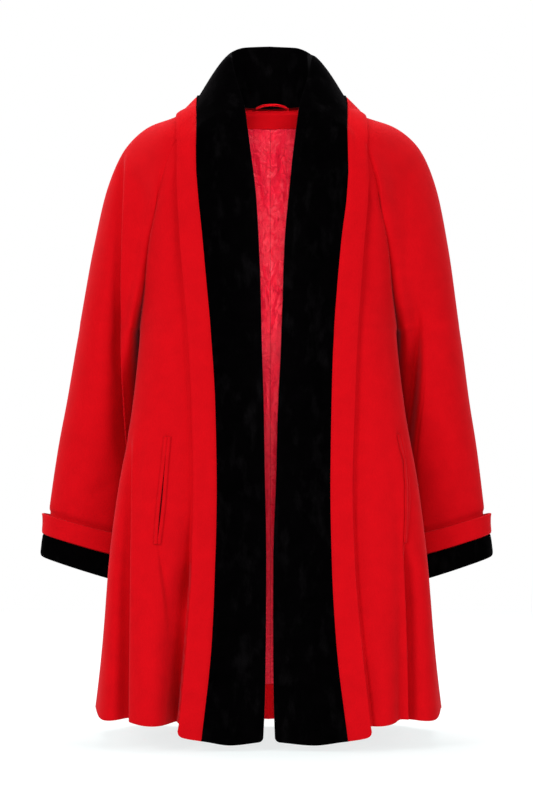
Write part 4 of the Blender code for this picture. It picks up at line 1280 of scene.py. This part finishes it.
def satin_material():
    """Crinkled satin: shiny on its creases, with painted shade that darkens its colour between
    them and along the centre seam.
    """
    material = fibre_material("red_satin", (0.84, 0.009, 0.038), 0.04, 0.44, 0.04, 0.3,
                              (1.0, 0.4, 0.5))
    links = material.node_tree.links
    surface = material.node_tree.nodes["Principled BSDF"]
    surface.inputs["Specular IOR Level"].default_value = 0.20
    cloth_red = surface.inputs["Base Color"].links[0].from_socket
    where = add_node(material, "TexCoord").outputs["Object"]
    stretch = add_node(material, "Mapping", Vector=where, Scale=(1.0, 1.0, 0.6))
    creases = add_node(material, "TexNoise", Vector=stretch.outputs["Vector"], Scale=130.0,
                       Detail=3.0, Distortion=0.8).outputs["Fac"]
    crushed = add_node(material, "Bump", Height=creases, Strength=1.0, Distance=0.0045)
    links.new(crushed.outputs["Normal"], surface.inputs["Normal"])
    # Painted shade: the colour darkens in the hollows between the creases.
    shade = colour_ramp(material, creases, (0.34, 0.60), ((0.86, 0.70, 0.74), (1.0, 1.0, 1.0)))
    # Painted shade: a darker line of colour along the centre seam.
    apart = add_node(material, "SeparateXYZ", Vector=where)
    on_seam = add_node(material, "Math", (("operation", "COMPARE"),))
    links.new(apart.outputs["X"], on_seam.inputs[0])
    on_seam.inputs[1].default_value = CENTRE_SEAM_X
    on_seam.inputs[2].default_value = SEAM_HALF
    painted_shade_with_seam = colour_mix(material, "MIX", on_seam.outputs["Value"], shade, SEAM_SHADE)
    links.new(colour_mix(material, "MULTIPLY", 1.0, cloth_red, painted_shade_with_seam),
              surface.inputs["Base Color"])
    return material


satin = satin_material()


def inside_place(rows, off, crumple):
    """Where the points of a piece inside the back lie, off the back's cloth."""
    smooth_place = back_place(*rows, INSIDE_REACH)

    def place(down, across):
        points = smooth_place(down, across)
        normals = normals_at(smooth_place, down, across, -1)
        lift = off + crumple(points)
        return points - normals * lift[:, None]

    return place


def lie_flat(points):
    """No creases."""
    return np.zeros(len(points))


# Long folds of the lining: x and z of both ends, how far each stands up and how wide it is.
LINING_FOLDS = (
    (-0.016, -0.040, -0.004, -0.130, 0.0024, 0.0060),
    (-0.020, -0.050, -0.008, -0.150, -0.0042, 0.0080),
    (0.006, -0.045, 0.014, -0.090, 0.0020, 0.0050),
    (0.022, -0.040, 0.016, -0.130, -0.0042, 0.0070),
    (0.028, -0.070, 0.024, -0.230, 0.0024, 0.0060),
    (-0.008, -0.190, -0.002, -0.330, 0.0022, 0.0060),
    (0.012, -0.150, 0.011, -0.270, 0.0020, 0.0055),
    (-0.012, -0.230, 0.000, -0.272, -0.0030, 0.0035),
    (0.014, -0.232, 0.003, -0.274, -0.0030, 0.0035),
    (-0.010, -0.262, 0.001, -0.300, 0.0030, 0.0035),
    (0.014, -0.262, 0.003, -0.304, 0.0030, 0.0035),
    (-0.008, -0.310, 0.002, -0.345, -0.0028, 0.0035),
    (0.012, -0.305, 0.004, -0.345, -0.0028, 0.0035),
    (0.005, -0.360, -0.002, -0.470, 0.0030, 0.0045),
    (0.008, -0.480, 0.002, -0.620, 0.0025, 0.0045),
    (0.000, -0.600, 0.006, -0.760, 0.0025, 0.0045),
)
LINING_BEND = (0.010, (0.030, 1.0, 0.060))
LINING_CRUSH = (0.0020, (0.013, 1.0, 0.020))
FINE_CRUSH = (0.0012, (0.006, 1.0, 0.011))
LINING_TOP_Z = -0.025
LINING_FADE = 0.03
LINING_EASE = 0.0055
LINING_DEEPEST = 0.0042


def crinkle(points):
    """The lining's long folds and its many small creases."""
    x, z = points[:, 0], points[:, 2]
    folds = crease_lift(LINING_FOLDS, x, z)
    bent = points + ripple(points, *LINING_BEND, 31.0)[:, None]
    folds += 0.5 * LINING_CRUSH[0] - np.abs(ripple(bent, *LINING_CRUSH, 37.0))
    folds += 0.5 * FINE_CRUSH[0] - np.abs(ripple(points, *FINE_CRUSH, 43.0))
    fullness = np.clip((LINING_TOP_Z - z) / LINING_FADE, 0.0, 1.0)
    return np.maximum(folds, -LINING_DEEPEST) * (0.2 + 0.8 * fullness) + LINING_EASE * fullness


for name, rows, count, off, wall, material, slot, crumple, flat in (
        ("neck_facing", FACING_ROWS, 12, 0.0046, 0.0016, red_wool, "wool", lie_flat,
         (0.20, 0.040)),
        ("lining_back", LINING_ROWS, 236, 0.0040, 0.0006, satin, "lining", crinkle,
         (0.56, 0.88)),
        ("hem_facing", HEM_FACING_ROWS, 14, 0.0052, 0.0016, red_wool, "wool", lie_flat,
         (0.60, 0.06))):
    piece = cloth_sheet(name + "_cloth", count, 124,
                        spaced(inside_place(rows, off, crumple), INSIDE_KNOTS), True)
    give_wall(piece, wall, edge=0.0004)
    finish_piece(piece, name, material)

# ----------------------------------------
# Hanger loop. A narrow rouleau of the wool, caught into the neck seam at both ends and bowed up
# off the facing.
LOOP_CENTRE = (0.0055, 0.0618, 0.0040)
LOOP_HALF = 0.0240
LOOP_BOW = (-0.0060, 0.0052)
LOOP_SQUARE = 2.6
LOOP_RADIUS = 0.0020
LOOP_STEPS = 32

reach = np.linspace(-1.0, 1.0, LOOP_STEPS + 1)
bow = 1 - np.abs(reach) ** LOOP_SQUARE
spots = np.stack((LOOP_CENTRE[0] + LOOP_HALF * reach, LOOP_CENTRE[1] + LOOP_BOW[0] * bow,
                  LOOP_CENTRE[2] + LOOP_BOW[1] * bow), axis=-1)
loop = cord_piece("hanger_loop_cord", spots, LOOP_RADIUS, red_wool)
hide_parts("hanger_loop")
